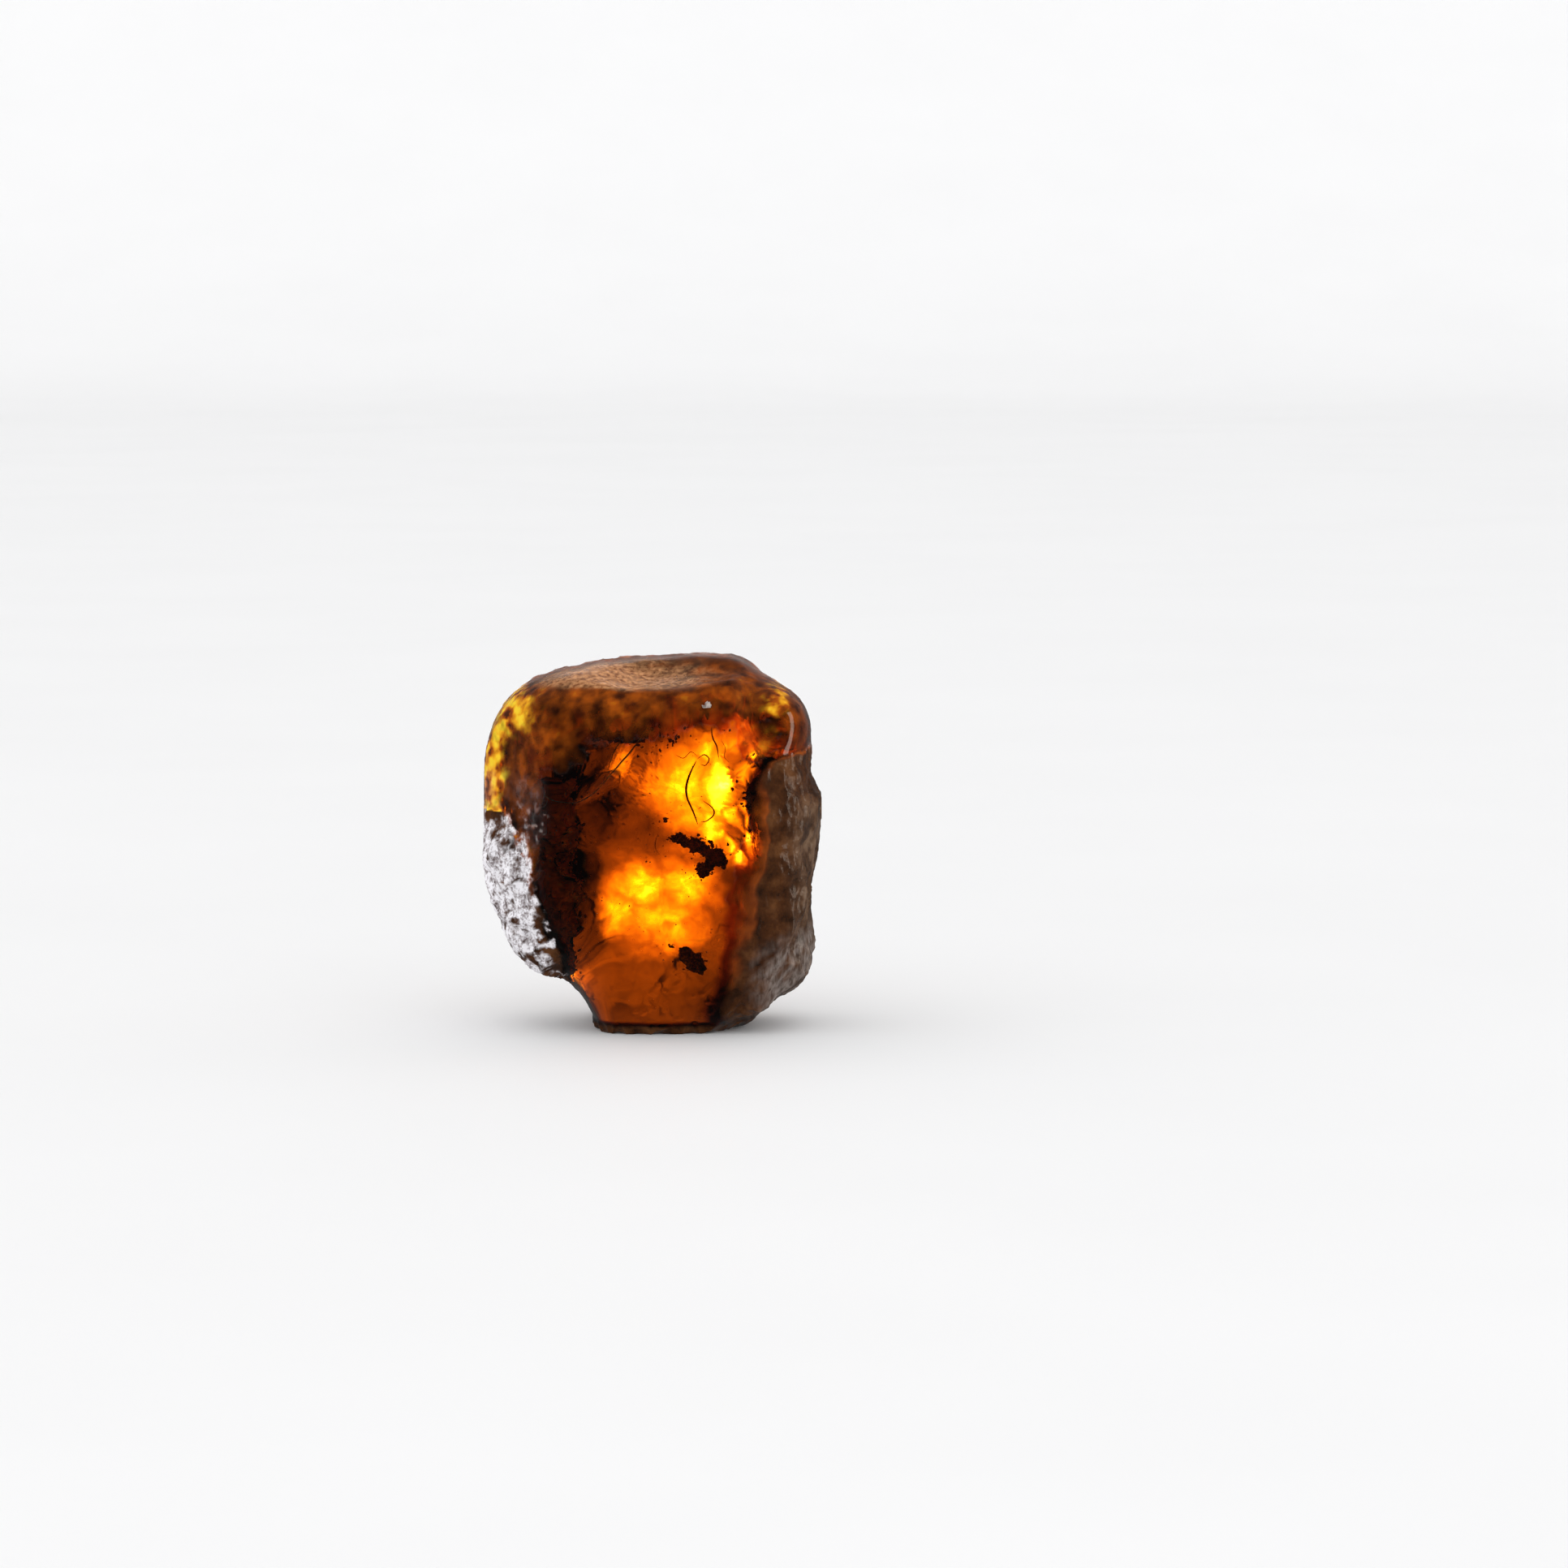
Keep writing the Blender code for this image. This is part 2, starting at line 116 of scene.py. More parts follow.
# Where the skin changes from clear resin to rind on the front, as (z, x) from the top down.
RIGHT_RIND = (
    (19.0, 12.0), (18.3, 9.3), (17.7, 8.0), (16.9, 7.5), (15.4, 7.2), (13.6, 7.5), (12.0, 7.6),
    (10.4, 7.2), (9.2, 7.0), (7.9, 6.8), (6.5, 6.5), (5.3, 6.3), (4.0, 5.9), (2.8, 5.5), (0.0, 5.0),
)
LEFT_RIND = (
    (15.4, -12.0), (14.2, -9.6), (13.5, -9.2), (12.4, -8.3), (10.6, -8.0), (8.7, -7.7), (7.6, -6.9),
    (6.2, -6.6), (4.4, -5.6), (0.0, -4.6),
)

# Windows in the rind, by where they show on the broad face:
# x, z, half width, half height, turn in degrees, the share of light that they let in.
WINDOWS = (
    (2.2, 16.3, 2.3, 2.5, 0, 0.42),
    (0.4, 16.4, 1.7, 1.8, 10, 0.27),
    (2.6, 14.5, 1.8, 1.5, 0, 0.34),
    (4.6, 16.0, 1.2, 2.3, 0, 0.80),
    (4.6, 16.4, 0.9, 1.2, 0, 1.00),
    (5.9, 16.0, 0.9, 2.0, 0, 0.50),
    (3.9, 13.6, 1.2, 1.2, 0, 0.55),
    (3.7, 18.5, 1.3, 0.9, 20, 0.42),
    (6.0, 18.0, 1.1, 1.6, 0, 0.32),
    (6.4, 17.0, 0.7, 0.9, -30, 0.65),
    (6.3, 12.7, 1.2, 1.5, -30, 0.75),
    (6.0, 14.0, 0.8, 0.8, 0, 0.42),
    (7.3, 12.6, 1.0, 1.6, 0, 0.11),
    (-0.4, 9.8, 1.9, 1.5, 0, 0.46),
    (0.6, 7.8, 2.5, 1.6, 0, 0.40),
    (-2.0, 8.2, 1.2, 1.5, 0, 0.38),
    (2.2, 9.9, 1.8, 1.6, 0, 0.40),
    (1.5, 6.7, 1.8, 1.0, 0, 0.34),
    (-0.2, 5.8, 2.4, 1.1, 0, 0.13),
    (-0.5, 11.6, 1.8, 0.9, 0, 0.10),
    (3.4, 19.4, 1.8, 1.1, 0, 0.25),
    (5.6, 19.3, 1.4, 1.0, 0, 0.34),
    (3.9, 9.0, 1.4, 1.1, 0, 0.15),
    (4.8, 7.4, 2.4, 3.6, 0, 0.080),
    (0.0, 4.0, 4.5, 2.0, 0, 0.060),
    (0.4, 1.6, 3.6, 1.8, 0, 0.040),
    (0.2, 12.6, 3.2, 1.5, 0, 0.056),
    (-2.0, 11.6, 1.4, 1.4, 0, 0.085),
    (-1.4, 14.0, 1.4, 1.2, 0, 0.050),
    (2.4, 12.3, 2.0, 0.9, 0, 0.14),
    (-2.2, 16.9, 0.9, 0.6, 40, 0.09),
    (-4.3, 13.6, 1.5, 3.6, 0, 0.030),
    (-4.2, 7.4, 1.5, 3.2, 0, 0.046),
    (-4.2, 18.2, 1.3, 1.2, 0, 0.045),
    (-2.0, 19.6, 1.8, 1.2, 0, 0.045),
    (0.6, 18.8, 2.6, 1.0, 0, 0.070),
    (-1.6, 18.0, 1.6, 1.4, 0, 0.045),
    (-4.2, 21.3, 2.4, 1.6, 0, 0.050),
    (-6.6, 20.6, 1.5, 1.7, 0, 0.050),
    (-1.0, 21.2, 1.8, 1.3, 0, 0.045),
    (2.0, 20.6, 2.6, 1.5, 0, 0.050),
    (5.0, 20.4, 1.6, 1.6, 0, 0.080),
    (-8.9, 20.7, 0.9, 1.0, 30, 0.60),
    (-9.2, 21.6, 0.8, 0.7, 30, 0.45),
    (-8.0, 22.0, 0.7, 0.4, 0, 0.20),
    (-10.3, 17.4, 0.7, 1.6, 0, 0.45),
    (-10.2, 14.8, 0.7, 1.3, 0, 0.42),
    (-9.2, 18.9, 0.8, 0.8, 0, 0.20),
    (-8.4, 14.2, 0.5, 1.0, 0, 0.10),
    (-7.0, 18.4, 0.25, 0.5, -30, 0.25),
    (8.1, 21.9, 0.8, 0.5, 0, 0.45),
    (7.5, 21.2, 0.5, 0.5, 0, 0.30),
    (9.2, 20.4, 1.0, 2.0, 0, 0.14),
    (8.4, 18.6, 1.2, 1.0, 0, 0.14),
    (5.5, 24.0, 0.4, 0.25, 0, 0.50),
    (5.9, 22.5, 0.22, 0.4, 0, 0.40),
)
SHARDS = (6.3, 14.8, 1.5, 4.2, 0, 1.0)  # where the resin is broken into shards, as a window
SHARD_SIZE = 1.0
FLAMES = (6.3, 15.2, 1.9, 4.8, 0, 1)  # where the clear skin behind is crumpled, as a window
FROST_SHEEN = (-7.9, 13.6, 1.3, 2.0, 0, 0.4)  # painted sheen, thin like frost, on the slope at the upper left, as a window
TAN_REFLECTION_PATCH = (-2.2, -3.0, 3.4, 2.2, 0, 1.25)  # where a tan reflection is painted on the scoop on the top, as a window but by x and y
UPRIGHT_LEAN = 4  # degrees that the rind's crests lean
BEVEL_SLANT = 52  # degrees that the crests and streaks of its lower right part lean
AMBER_SHEEN = (1.0, 0.38, 0.10, 1)  # what the thin weathered skin behind makes of white light
# The painted shade on the side of the soil mass that faces away from the front.
SOIL_IN_SHADE = (0.012, 0.004, 0.002, 1)
THIN_RIND = 0.004  # the share of light that comes through the rind itself
# Stains that dim what is under them: x, z, half width, half height, turn, how dark.
STAINS = (
    (-5.6, 15.4, 1.8, 1.5, 0, 0.92),
    (-5.9, 11.5, 1.9, 3.4, 0, 0.97),
    (-5.6, 6.8, 1.5, 2.4, 0, 0.97),
    (-5.2, 18.4, 1.6, 1.2, 0, 0.75),
    (0.9, 7.2, 0.5, 0.35, 0, 0.35),
    (7.7, 19.9, 0.7, 0.7, 0, 0.70),
    (0.8, 21.7, 1.6, 0.6, 0, 0.50),
    (-2.8, 20.4, 0.8, 0.4, 35, 0.80),
    (-7.2, 19.2, 0.7, 0.7, 0, 0.70),
    (7.4, 15.0, 0.8, 0.7, 0, 0.80),
    (6.5, 21.6, 0.25, 1.4, 0, 0.60),
)
# Cloudy resin just under the front, in which the glow of light coming through is painted: x, z, half width,
# half height, how cloudy, how yellow the painted glow is.
CLOUDS = (
    (-3.0, 22.2, 6.5, 2.3, 0.80, 0.22),
    (4.0, 22.4, 5.0, 1.9, 0.70, 0.24),
    (-6.8, 19.6, 2.4, 2.0, 0.60, 0.26),
    (9.2, 20.4, 1.3, 2.6, 0.55, 0.22),
    (8.0, 21.5, 0.9, 0.8, 1.00, 0.80),
    (6.8, 19.2, 1.2, 1.0, 0.50, 0.40),
    (-8.9, 20.8, 1.3, 1.3, 1.20, 1.00),
    (-10.3, 16.6, 0.8, 3.2, 1.20, 0.85),
    (-9.9, 19.4, 0.7, 0.9, 0.90, 0.65),
    (-8.3, 16.4, 1.1, 2.8, 0.60, 0.22),
    (-8.2, 11.6, 0.7, 2.2, 0.70, 0.30),
    (7.1, 8.0, 1.6, 4.6, 0.55, 0.10),
    (7.3, 13.5, 0.8, 2.6, 0.60, 0.10),
)
SIGHT_STEP = 0.11  # spacing of the sight lines that find where a window shows
SIGHT_REACH = 0.4
SIGHT_WIDTH = (-11.5, 11.5)
SIGHT_HEIGHT = (-0.5, 25.5)
GRAZING = 0.05  # sight lines that meet the front more flatly than this are left out
RAY_START = 0.02  # how far past a surface a bent line starts
EASED_WIDTH = 1.3  # how far round a steep slope the back is eased
EASING = 260  # rounds of easing
EASED_LEAST = 0.02
SQUARE_ON = 0.90  # how squarely a sight line meets the broad face


def clear_factory_objects():
    for obj in list(bpy.data.objects):
        if obj.type in {"CAMERA", "LIGHT"}:
            bpy.data.objects.remove(obj)


def mesh_data(name, mesh):
    """The bmesh as a mesh. The bmesh is freed."""
    data = bpy.data.meshes.new(name)
    mesh.to_mesh(data)
    mesh.free()
    return data


def linked(name, data):
    """An object in the scene that holds the mesh, light or camera."""
    made = bpy.data.objects.new(name, data)
    bpy.context.scene.collection.objects.link(made)
    return made


def as_piece(name, data, material, replaced):
    """The mesh as a piece of the object."""
    data.shade_smooth()
    data.materials.clear()
    data.materials.append(material)
    piece = linked(name, data)
    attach(piece, BODY)
    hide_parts(*replaced)
    return piece


def points_of(data):
    flat = np.empty(len(data.vertices) * 3)
    data.vertices.foreach_get("co", flat)
    return flat.reshape(-1, 3)


def normals_of(data):
    flat = np.empty(len(data.vertices) * 3)
    data.vertices.foreach_get("normal", flat)
    return flat.reshape(-1, 3)


def put_points(data, points):
    data.vertices.foreach_set("co", points.astype(float).ravel())
    data.update()


def soft_step(value, low, high):
    share = np.clip((value - low) / (high - low), 0, 1)
    return share * share * (3 - 2 * share)


def waves(points, size, seed, octaves=1):
    """Smooth noise of about -1 to 1 whose lumps have the given size."""
    shift = Vector((seed * 3.1, seed * 1.7, seed * 5.3))
    if octaves == 1:
        return np.array([noise.noise(Vector(p) / size + shift) for p in points])
    return np.array([noise.fractal(Vector(p) / size + shift, 1.0, 2.1, octaves) for p in points])


def cells(points, size, seed):
    """The distances to the nearest and the second nearest of scattered seeds, as shares of size."""
    shift = Vector((seed * 2.3, seed * 4.9, seed * 1.1))
    near = [noise.voronoi(Vector(p) / size + shift)[0][:2] for p in points]
    return np.array(near).T


def edge_at(edge, z):
    heights, places = np.array(edge[::-1]).T
    return np.interp(z, heights, places)


def onto_face(points):
    """Where each point would show on the broad face if the lump were a slab."""
    depth = np.maximum(points[:, 1] - FACE_Y, 0)
    spread = depth / (RESIN_IOR * (FACE_Y - EYE.y))
    drop = math.tan(math.asin(math.sin(LOOK_DOWN) / RESIN_IOR))
    x = (points[:, 0] + EYE.x * spread) / (1 + spread)
    z = points[:, 2] + drop * depth
    return x, z


def bent(way, normal, ratio):
    """The way of a ray after it passes a surface, or None where it is turned back."""
    facing = -way.dot(normal)
    left = 1 - ratio ** 2 * (1 - facing ** 2)
    if left < 0:
        return None
    return ratio * way + (ratio * facing - math.sqrt(left)) * normal


def sight_lines(data, step):
    """Where the skin is met by looking through the front.

    The lists are of what is met straight through the broad face, straight through the slanting
    parts of the front, and after one turn back. Each holds (place, x, z), where x, z is the place
    on the broad face where it shows. The fourth list holds the places that turn a first look back.
    """
    corners = [v.co for v in data.vertices]
    tree = BVHTree.FromPolygons(corners, [p.vertices for p in data.polygons])
    straight, slanting, turned, mirrors = [], [], [], []
    for x in np.arange(*SIGHT_WIDTH, step):
        for z in np.arange(*SIGHT_HEIGHT, step):
            way = (Vector((x, FACE_Y, z)) - EYE).normalized()
            place, normal, _, _ = tree.ray_cast(EYE, way)
            if place is None or way.dot(normal) > -GRAZING:
                continue
            first = straight if way.dot(normal) < -SQUARE_ON else slanting
            way = bent(way, normal, 1 / RESIN_IOR)
            for met in (first, turned):
                place, normal, _, _ = tree.ray_cast(place + way * RAY_START, way)
                if place is None:
                    break
                met.append((place, x, z))
                if bent(way, -normal, RESIN_IOR) is not None:
                    break
                if met is first:
                    mirrors.append(place)
                way = way.reflect(normal)
    return straight, slanting, turned, mirrors


def shown_at(data, points):
    """The place on the broad face where each point of the skin shows."""
    x, z = onto_face(points)
    unseen = np.full(len(points), True)
    for met in sight_lines(data, SIGHT_STEP)[:3]:
        tree = KDTree(len(met))
        for index, (place, _, _) in enumerate(met):
            tree.insert(place, index)
        tree.balance()
        for index in np.flatnonzero(unseen):
            near = [met[hit] for _, hit, gap in tree.find_n(points[index], 3) if gap < SIGHT_REACH]
            if near:
                x[index] = np.mean([hit[1] for hit in near])
                z[index] = np.mean([hit[2] for hit in near])
                unseen[index] = False
    return x, z


def eased(data, back):
    """Eases the slopes of the back that are so steep that they would turn the light away."""
    points = points_of(data)
    mirrors = [place for place in sight_lines(data, 2 * SIGHT_STEP)[3] if place.y > 0]
    tree = KDTree(len(mirrors))
    for index, place in enumerate(mirrors):
        tree.insert(place, index)
    tree.balance()
    gaps = np.array([tree.find(point)[2] for point in points])
    weight = back * np.exp(-((gaps / EASED_WIDTH) ** 2))
    ends = np.empty(len(data.edges) * 2, dtype=int)
    data.edges.foreach_get("vertices", ends)
    ends = ends.reshape(-1, 2)
    ends = ends[(weight[ends] > EASED_LEAST).any(axis=1)]
    start, end = np.concatenate((ends, ends[:, ::-1])).T
    count = np.maximum(np.bincount(start, minlength=len(points)), 1)
    moved = np.flatnonzero(weight > EASED_LEAST)
    for _ in range(EASING):
        for axis in range(3):
            mean = np.bincount(start, points[end, axis], len(points)) / count
            points[moved, axis] += (weight * (mean - points[:, axis]))[moved]
    put_points(data, points)


def under_face(x, z, depth):
    """The place at the given depth in the resin that shows at x, z on the broad face."""
    entry = Vector((x, FACE_Y, z))
    way = (entry - EYE).normalized()
    way.x /= RESIN_IOR
    way.z /= RESIN_IOR
    way.y = math.sqrt(1 - way.x ** 2 - way.z ** 2)
    return entry + way * depth / way.y


# ---------------------------------------------------------------- the lump


def evened(name, mesh, size, smoothing=0):
    """The bmesh's outside as fine even faces."""
    rough = linked(name, mesh_data(name, mesh))
    skin = rough.modifiers.new("even faces", "REMESH")
    skin.mode = "VOXEL"
    skin.voxel_size = size
    ease = rough.modifiers.new("eased facets", "SMOOTH")
    ease.factor = 0.5
    ease.iterations = smoothing
    graph = bpy.context.evaluated_depsgraph_get()
    data = bpy.data.meshes.new_from_object(rough.evaluated_get(graph))
    bpy.data.objects.remove(rough)
    return data


def solid_copy(name):
    """A solid's mesh in millimetres."""
    mesh = bmesh.new()
    mesh.from_mesh(frame["nodes"][name].data)
    bmesh.ops.remove_doubles(mesh, verts=mesh.verts, dist=MERGE_DISTANCE)
    bmesh.ops.scale(mesh, vec=(1 / MM,) * 3, verts=mesh.verts)
    mesh.normal_update()
    return mesh


def reached(start):
    """All the faces that hang together with the given one."""
    faces, edge_on = {start}, [start]
    while edge_on:
        for edge in edge_on.pop().edges:
            new = {face for face in edge.link_faces if face not in faces}
            faces |= new
            edge_on += new
    return faces


def outside_of(name, towards):
    """A half's outer skin, without its flat parting and the pockets, and the rim where it parts."""
    mesh = solid_copy(name)
    parting = max(towards * v.co.y for v in mesh.verts)
    flat = [f for f in mesh.faces if all(towards * v.co.y > parting - PARTING_SLACK for v in f.verts)]
    bmesh.ops.delete(mesh, geom=flat, context="FACES_ONLY")
    outer = reached(max(mesh.faces, key=lambda face: -towards * face.calc_center_median().y))
    bmesh.ops.delete(mesh, geom=[f for f in mesh.faces if f not in outer], context="FACES")
    rim = {v for v in mesh.verts if v.is_boundary}
    return mesh, rim


def lump_copy():
    """The skin of both halves together, with fine even faces, in millimetres."""
    back, back_rim = outside_of(RESIN_HALVES[0], -1)
    front, front_rim = outside_of(RESIN_HALVES[1], 1)
    middle = (next(iter(back_rim)).co.y + next(iter(front_rim)).co.y) / 2
    for vertex in back_rim | front_rim:
        vertex.co.y = middle
    whole = bmesh.new()
    for half in (back, front):
        whole.from_mesh(mesh_data("half skin", half))
    return evened("lump skin", whole, SKIN_SIZE, SKIN_SMOOTHING)


def front_rind(points, normals):
    """The share of rind on the front and the sides, with an uneven edge."""
    wander = 0.55 * waves(points, 1.6, 3) + 0.16 * waves(points, 0.45, 4)
    x, z = points[:, 0] + wander, points[:, 2] + 0.6 * wander
    fade = RIND_FADE * (1.2 + soft_step(12.0 - z, 0, 3))
    right = soft_step(x - edge_at(RIGHT_RIND, z), -fade, 0.5) * soft_step(18.7 - z, 0, 0.9)
    left = soft_step(edge_at(LEFT_RIND, z) - x, -0.7 * RIND_FADE, 0.5) * soft_step(15.0 - z, 0, 0.9)
    under = soft_step(0.9 - points[:, 2], 0, 0.6)
    return np.maximum(np.maximum(right, left), under)


def patch(x, z, at_x, at_z, half_x, half_z, turn, share):
    """A soft-edged oval patch."""
    c, s = math.cos(math.radians(turn)), math.sin(math.radians(turn))
    along = ((x - at_x) * c + (z - at_z) * s) / half_x
    across = ((z - at_z) * c - (x - at_x) * s) / half_z
    return share * np.exp(-(along ** 2 + across ** 2))


def shards(x, z):
    """How much light the broken resin near the right lets through, from shard to shard."""
    flat = np.column_stack((x + 0.35 * z, np.zeros(len(x)), 0.75 * z))
    flat[:, 0] += 0.5 * waves(flat, 1.1, 37)
    flat[:, 2] += 0.5 * waves(flat, 1.1, 38)
    found = [noise.voronoi(Vector(p) / SHARD_SIZE) for p in flat]
    gap = np.array([distances[1] - distances[0] for distances, _ in found])
    light = np.array([noise.cell(seeds[0] * 3.7) for _, seeds in found])
    return (0.08 + 1.6 * np.abs(light)) * (1 - 0.9 * np.exp(-((gap / 0.17) ** 2)))


def clearness(x, z):
    """How clear the skin is, from 0 where the rind is whole to 1, by where it shows."""
    flat = np.column_stack((x, np.zeros(len(x)), z))
    x = x + 0.50 * waves(flat, 1.5, 11) + 0.28 * waves(flat, 0.5, 12, 2)
    z = z + 0.50 * waves(flat, 1.5, 13) + 0.28 * waves(flat, 0.5, 14, 2)
    clear = np.full(len(x), THIN_RIND)
    for window in WINDOWS:
        clear = np.maximum(clear, patch(x, z, *window))
    for stain in STAINS:
        clear = clear * (1 - patch(x, z, *stain))
    broken = np.clip(1.4 * patch(x, z, *SHARDS), 0, 1)
    return clear * (1 - broken + broken * shards(flat[:, 0], flat[:, 2]))


def cloudiness(points):
    """How cloudy the resin under the front is, and how yellow the glow painted in it is."""
    x = points[:, 0] + 0.5 * waves(points, 1.2, 15, 2)
    z = points[:, 2] + 0.5 * waves(points, 1.2, 16, 2)
    cloudy = np.zeros(len(points))
    total = np.full(len(points), 1e-6)
    painted_glow_hue = np.zeros(len(points))
    for at_x, at_z, half_x, half_z, share, hue in CLOUDS:
        near = patch(x, z, at_x, at_z, half_x, half_z, 0, share)
        cloudy = np.maximum(cloudy, near)
        total += near ** 2
        painted_glow_hue += near ** 2 * hue
    cloudy = cloudy * (0.8 + 0.5 * waves(points, 0.8, 17, 3))
    painted_glow_hue = painted_glow_hue / total
    painted_glow_hue = painted_glow_hue * (0.62 + 0.95 * waves(points, 0.75, 18, 4)) + 0.03
    return np.clip(cloudy, 0, 1), np.clip(painted_glow_hue, 0, 1)


def along(points, turn):
    """The points turned about Y, so that a stretched pattern runs in that direction."""
    c, s = math.cos(math.radians(turn)), math.sin(math.radians(turn))
    x, y, z = points.T
    return np.column_stack((c * x - s * z, y, 0.3 * (s * x + c * z)))


def creases(points, size, seed):
    """Sharp crests between rounded hollows, from 0 to 1."""
    return 1 - np.abs(np.clip(1.6 * waves(points, size, seed, 2), -1, 1))


def rind_relief(points, back):
    """Grain, pits, crests, hollows and splits in the rind. The right flank is calmer than the rest."""
    x, _, z = points.T
    calm = soft_step(x, 4.0, 5.0) * (1 - back)
    calm = calm * (1 - 0.8 * soft_step(x, 7.8, 9.4) * soft_step(11.0 - z, 0, 3))
    grain = 0.022 * waves(points, 0.6, 21, 3) * (1 - 0.7 * calm)
    near, _ = cells(points, 1.3, 22)
    pits = -0.26 * np.exp(-((near / 0.26) ** 2)) * soft_step(waves(points, 2.2, 23), -0.2, 0.2)
    upright = creases(along(points, UPRIGHT_LEAN), 1.25, 24)
    slanting = creases(along(points, BEVEL_SLANT), 1.25, 25)
    low = soft_step(6.0 - z, 0, 2.5) * soft_step(x, 3.0, 5.0)
    crests = 0.30 * ((1 - low) * upright + low * slanting) ** 2
    crests = crests * (1 - 0.65 * back) * (1 - 0.55 * calm)
    near, far = cells(points, 2.1, 33)
    splits = -0.10 * np.exp(-(((far - near) / 0.06) ** 2)) * back
    hollows = 0.10 * calm * creases(points, 0.75, 36) ** 2
    return grain + pits + crests + splits + hollows


def clear_relief(points, back, shown):
    """Ripples and petals in the windows behind, and faint swells and chips in front."""
    flames = patch(*shown, *FLAMES)
    ripple = (0.022 + 0.05 * flames) * waves(points * (1.0, 1.0, 0.5), 0.85, 26, 2)
    petals = 0.12 * flames * creases(points, 0.8, 28) ** 2
    face = 0.022 * waves(points, 1.9, 27, 2)
    chips = 0.05 * soft_step(-shown[0], 5.5, 7.5) * creases(points, 0.9, 29) ** 3
    return back * (ripple + petals) + (1 - back) * (face + chips)


def relief(points, rind, back, shown):
    """Heights along the normals."""
    return rind * rind_relief(points, back) + (1 - rind) * clear_relief(points, back, shown)


def facing_back(data):
    return soft_step(normals_of(data)[:, 1], -0.25, 0.35) * soft_step(points_of(data)[:, 1], -2.0, 2.0)


def kept_inside(points):
    """The points held inside the solid's own box."""
    low, high = (np.array(corner) / MM for corner in cad_box)
    return np.clip(points, low + BOX_MARGIN, high - BOX_MARGIN)


def add_share(data, name, values):
    layer = data.attributes.new(name, "FLOAT", "POINT")
    layer.data.foreach_set("value", values.astype(np.float32))


def painted_sheen_cover(points, sides, front):
    """The painted silvery sheen, a painted reflection, in flakes on the rind at the left and as a thin
    frost above it.
    """
    x, _, z = points.T
    flaky = soft_step(1.3 * waves(points, 0.8, 31, 4) + 0.26 * (-x - 7.9), -0.30, 0.10)
    flaky = flaky * soft_step(14.3 - z + 3.4 * waves(points, 0.8, 40, 4), 0.0, 2.2)
    silver_sheen = soft_step(sides, 0.04, 0.35) * soft_step(-x, 5.0, 6.2) * flaky
    frost_sheen = patch(x, z, *FROST_SHEEN) * soft_step(waves(points, 0.4, 39, 4), 0.0, 0.6)
    return np.maximum(silver_sheen, frost_sheen * front)


def tan_reflection_cover(points, normals):
    """Where a tan reflection is painted on the scoop on the top."""
    x, y, z = points.T
    level = soft_step(z, 22.0, 22.6) * soft_step(normals[:, 2], 0.75, 0.92)
    return np.clip(level * patch(x, y, *TAN_REFLECTION_PATCH) * (0.85 + 0.5 * waves(points, 1.2, 32, 3)), 0, 1)


def bevel_sheen_cover(points, sides, front):
    """The grey streaks on the slanting part of the rind at the lower right, whose pale colour is a painted
    highlight along its crests.
    """
    x, _, z = points.T
    bevel_sheen = sides * soft_step(7.0 - z + 0.45 * (x - 8.0), 0, 2.5) * soft_step(x, 5.6, 8.4) * front
    return bevel_sheen * np.clip(0.5 + 0.8 * waves(along(points, BEVEL_SLANT), 0.6, 35, 3), 0, 1)


def dust_cover(points):
    """The clouds of dust that dull the left side."""
    x, _, z = points.T
    cloudy = 0.5 + 0.6 * waves(points, 2.6, 34, 2)
    return soft_step(-x, 5.0, 7.0) * soft_step(17.8 - z, 0, 2) * soft_step(cloudy, 0.2, 0.7)


def amber_lump():
    """The skin of the whole lump, in place of its two halves."""
    data = lump_copy()
    eased(data, facing_back(data))
    points, normals = points_of(data), normals_of(data)
    back = facing_back(data)
    sides = front_rind(points, normals) * (1 - back)
    shown = shown_at(data, points)
    clear = clearness(*shown)
    rind = np.clip(sides + back * (1 - soft_step(clear, 0.05, 0.3)), 0, 1)
    points = kept_inside(points + normals * relief(points, rind, back, shown)[:, None])
    put_points(data, points * MM)
    add_share(data, "rind", sides)
    add_share(data, "back", back)
    add_share(data, "clear", clear)
    front = 1 - back
    # Painted reflection: where the rind at the left is given a silver-white sheen as its colour.
    add_share(data, "painted_sheen", painted_sheen_cover(points, sides, front))
    # Painted reflection: where the scoop on the top is given a tan reflection as its colour.
    add_share(data, "tan_reflection", tan_reflection_cover(points, normals))
    # Painted highlight: the pale streaks on the slanting part of the rind at the lower right.
    add_share(data, "bevel_sheen", bevel_sheen_cover(points, sides, front))
    add_share(data, "dull", dust_cover(points) * front)
    # Cloudy resin, with the glow of light coming through painted into it as a brown to yellow colour.
    cloud, painted_glow_hue = cloudiness(points)
    add_share(data, "cloud", cloud * front * (1 - soft_step(sides, 0.5, 0.9)))
    add_share(data, "painted_glow_hue", painted_glow_hue)
    x, _, z = points.T
    add_share(data, "outer", soft_step(x, 8.2, 10.2) * soft_step(16.5 - z, 0, 3) * front)
    return as_piece("amber_skin", data, amber_resin(), RESIN_HALVES)


# ---------------------------------------------------------------- what is sealed in the resin


class Inside:
    """Tells how deep a place lies under the lump's skin."""

    def __init__(self, lump):
        graph = bpy.context.evaluated_depsgraph_get()
        self.tree = BVHTree.FromObject(lump, graph)

    def depth(self, place):
        near, normal, _, gap = self.tree.find_nearest(place * MM)
        side = (near - place * MM).dot(normal)
        return math.copysign(gap / MM, side)


def finished(name, mesh, material, replaced=()):
    """The bmesh as a piece of the object, from millimetres to metres."""
    bmesh.ops.scale(mesh, vec=(MM, MM, MM), verts=mesh.verts)
    bmesh.ops.recalc_face_normals(mesh, faces=mesh.faces)
    return as_piece(name, mesh_data(name, mesh), material, replaced)


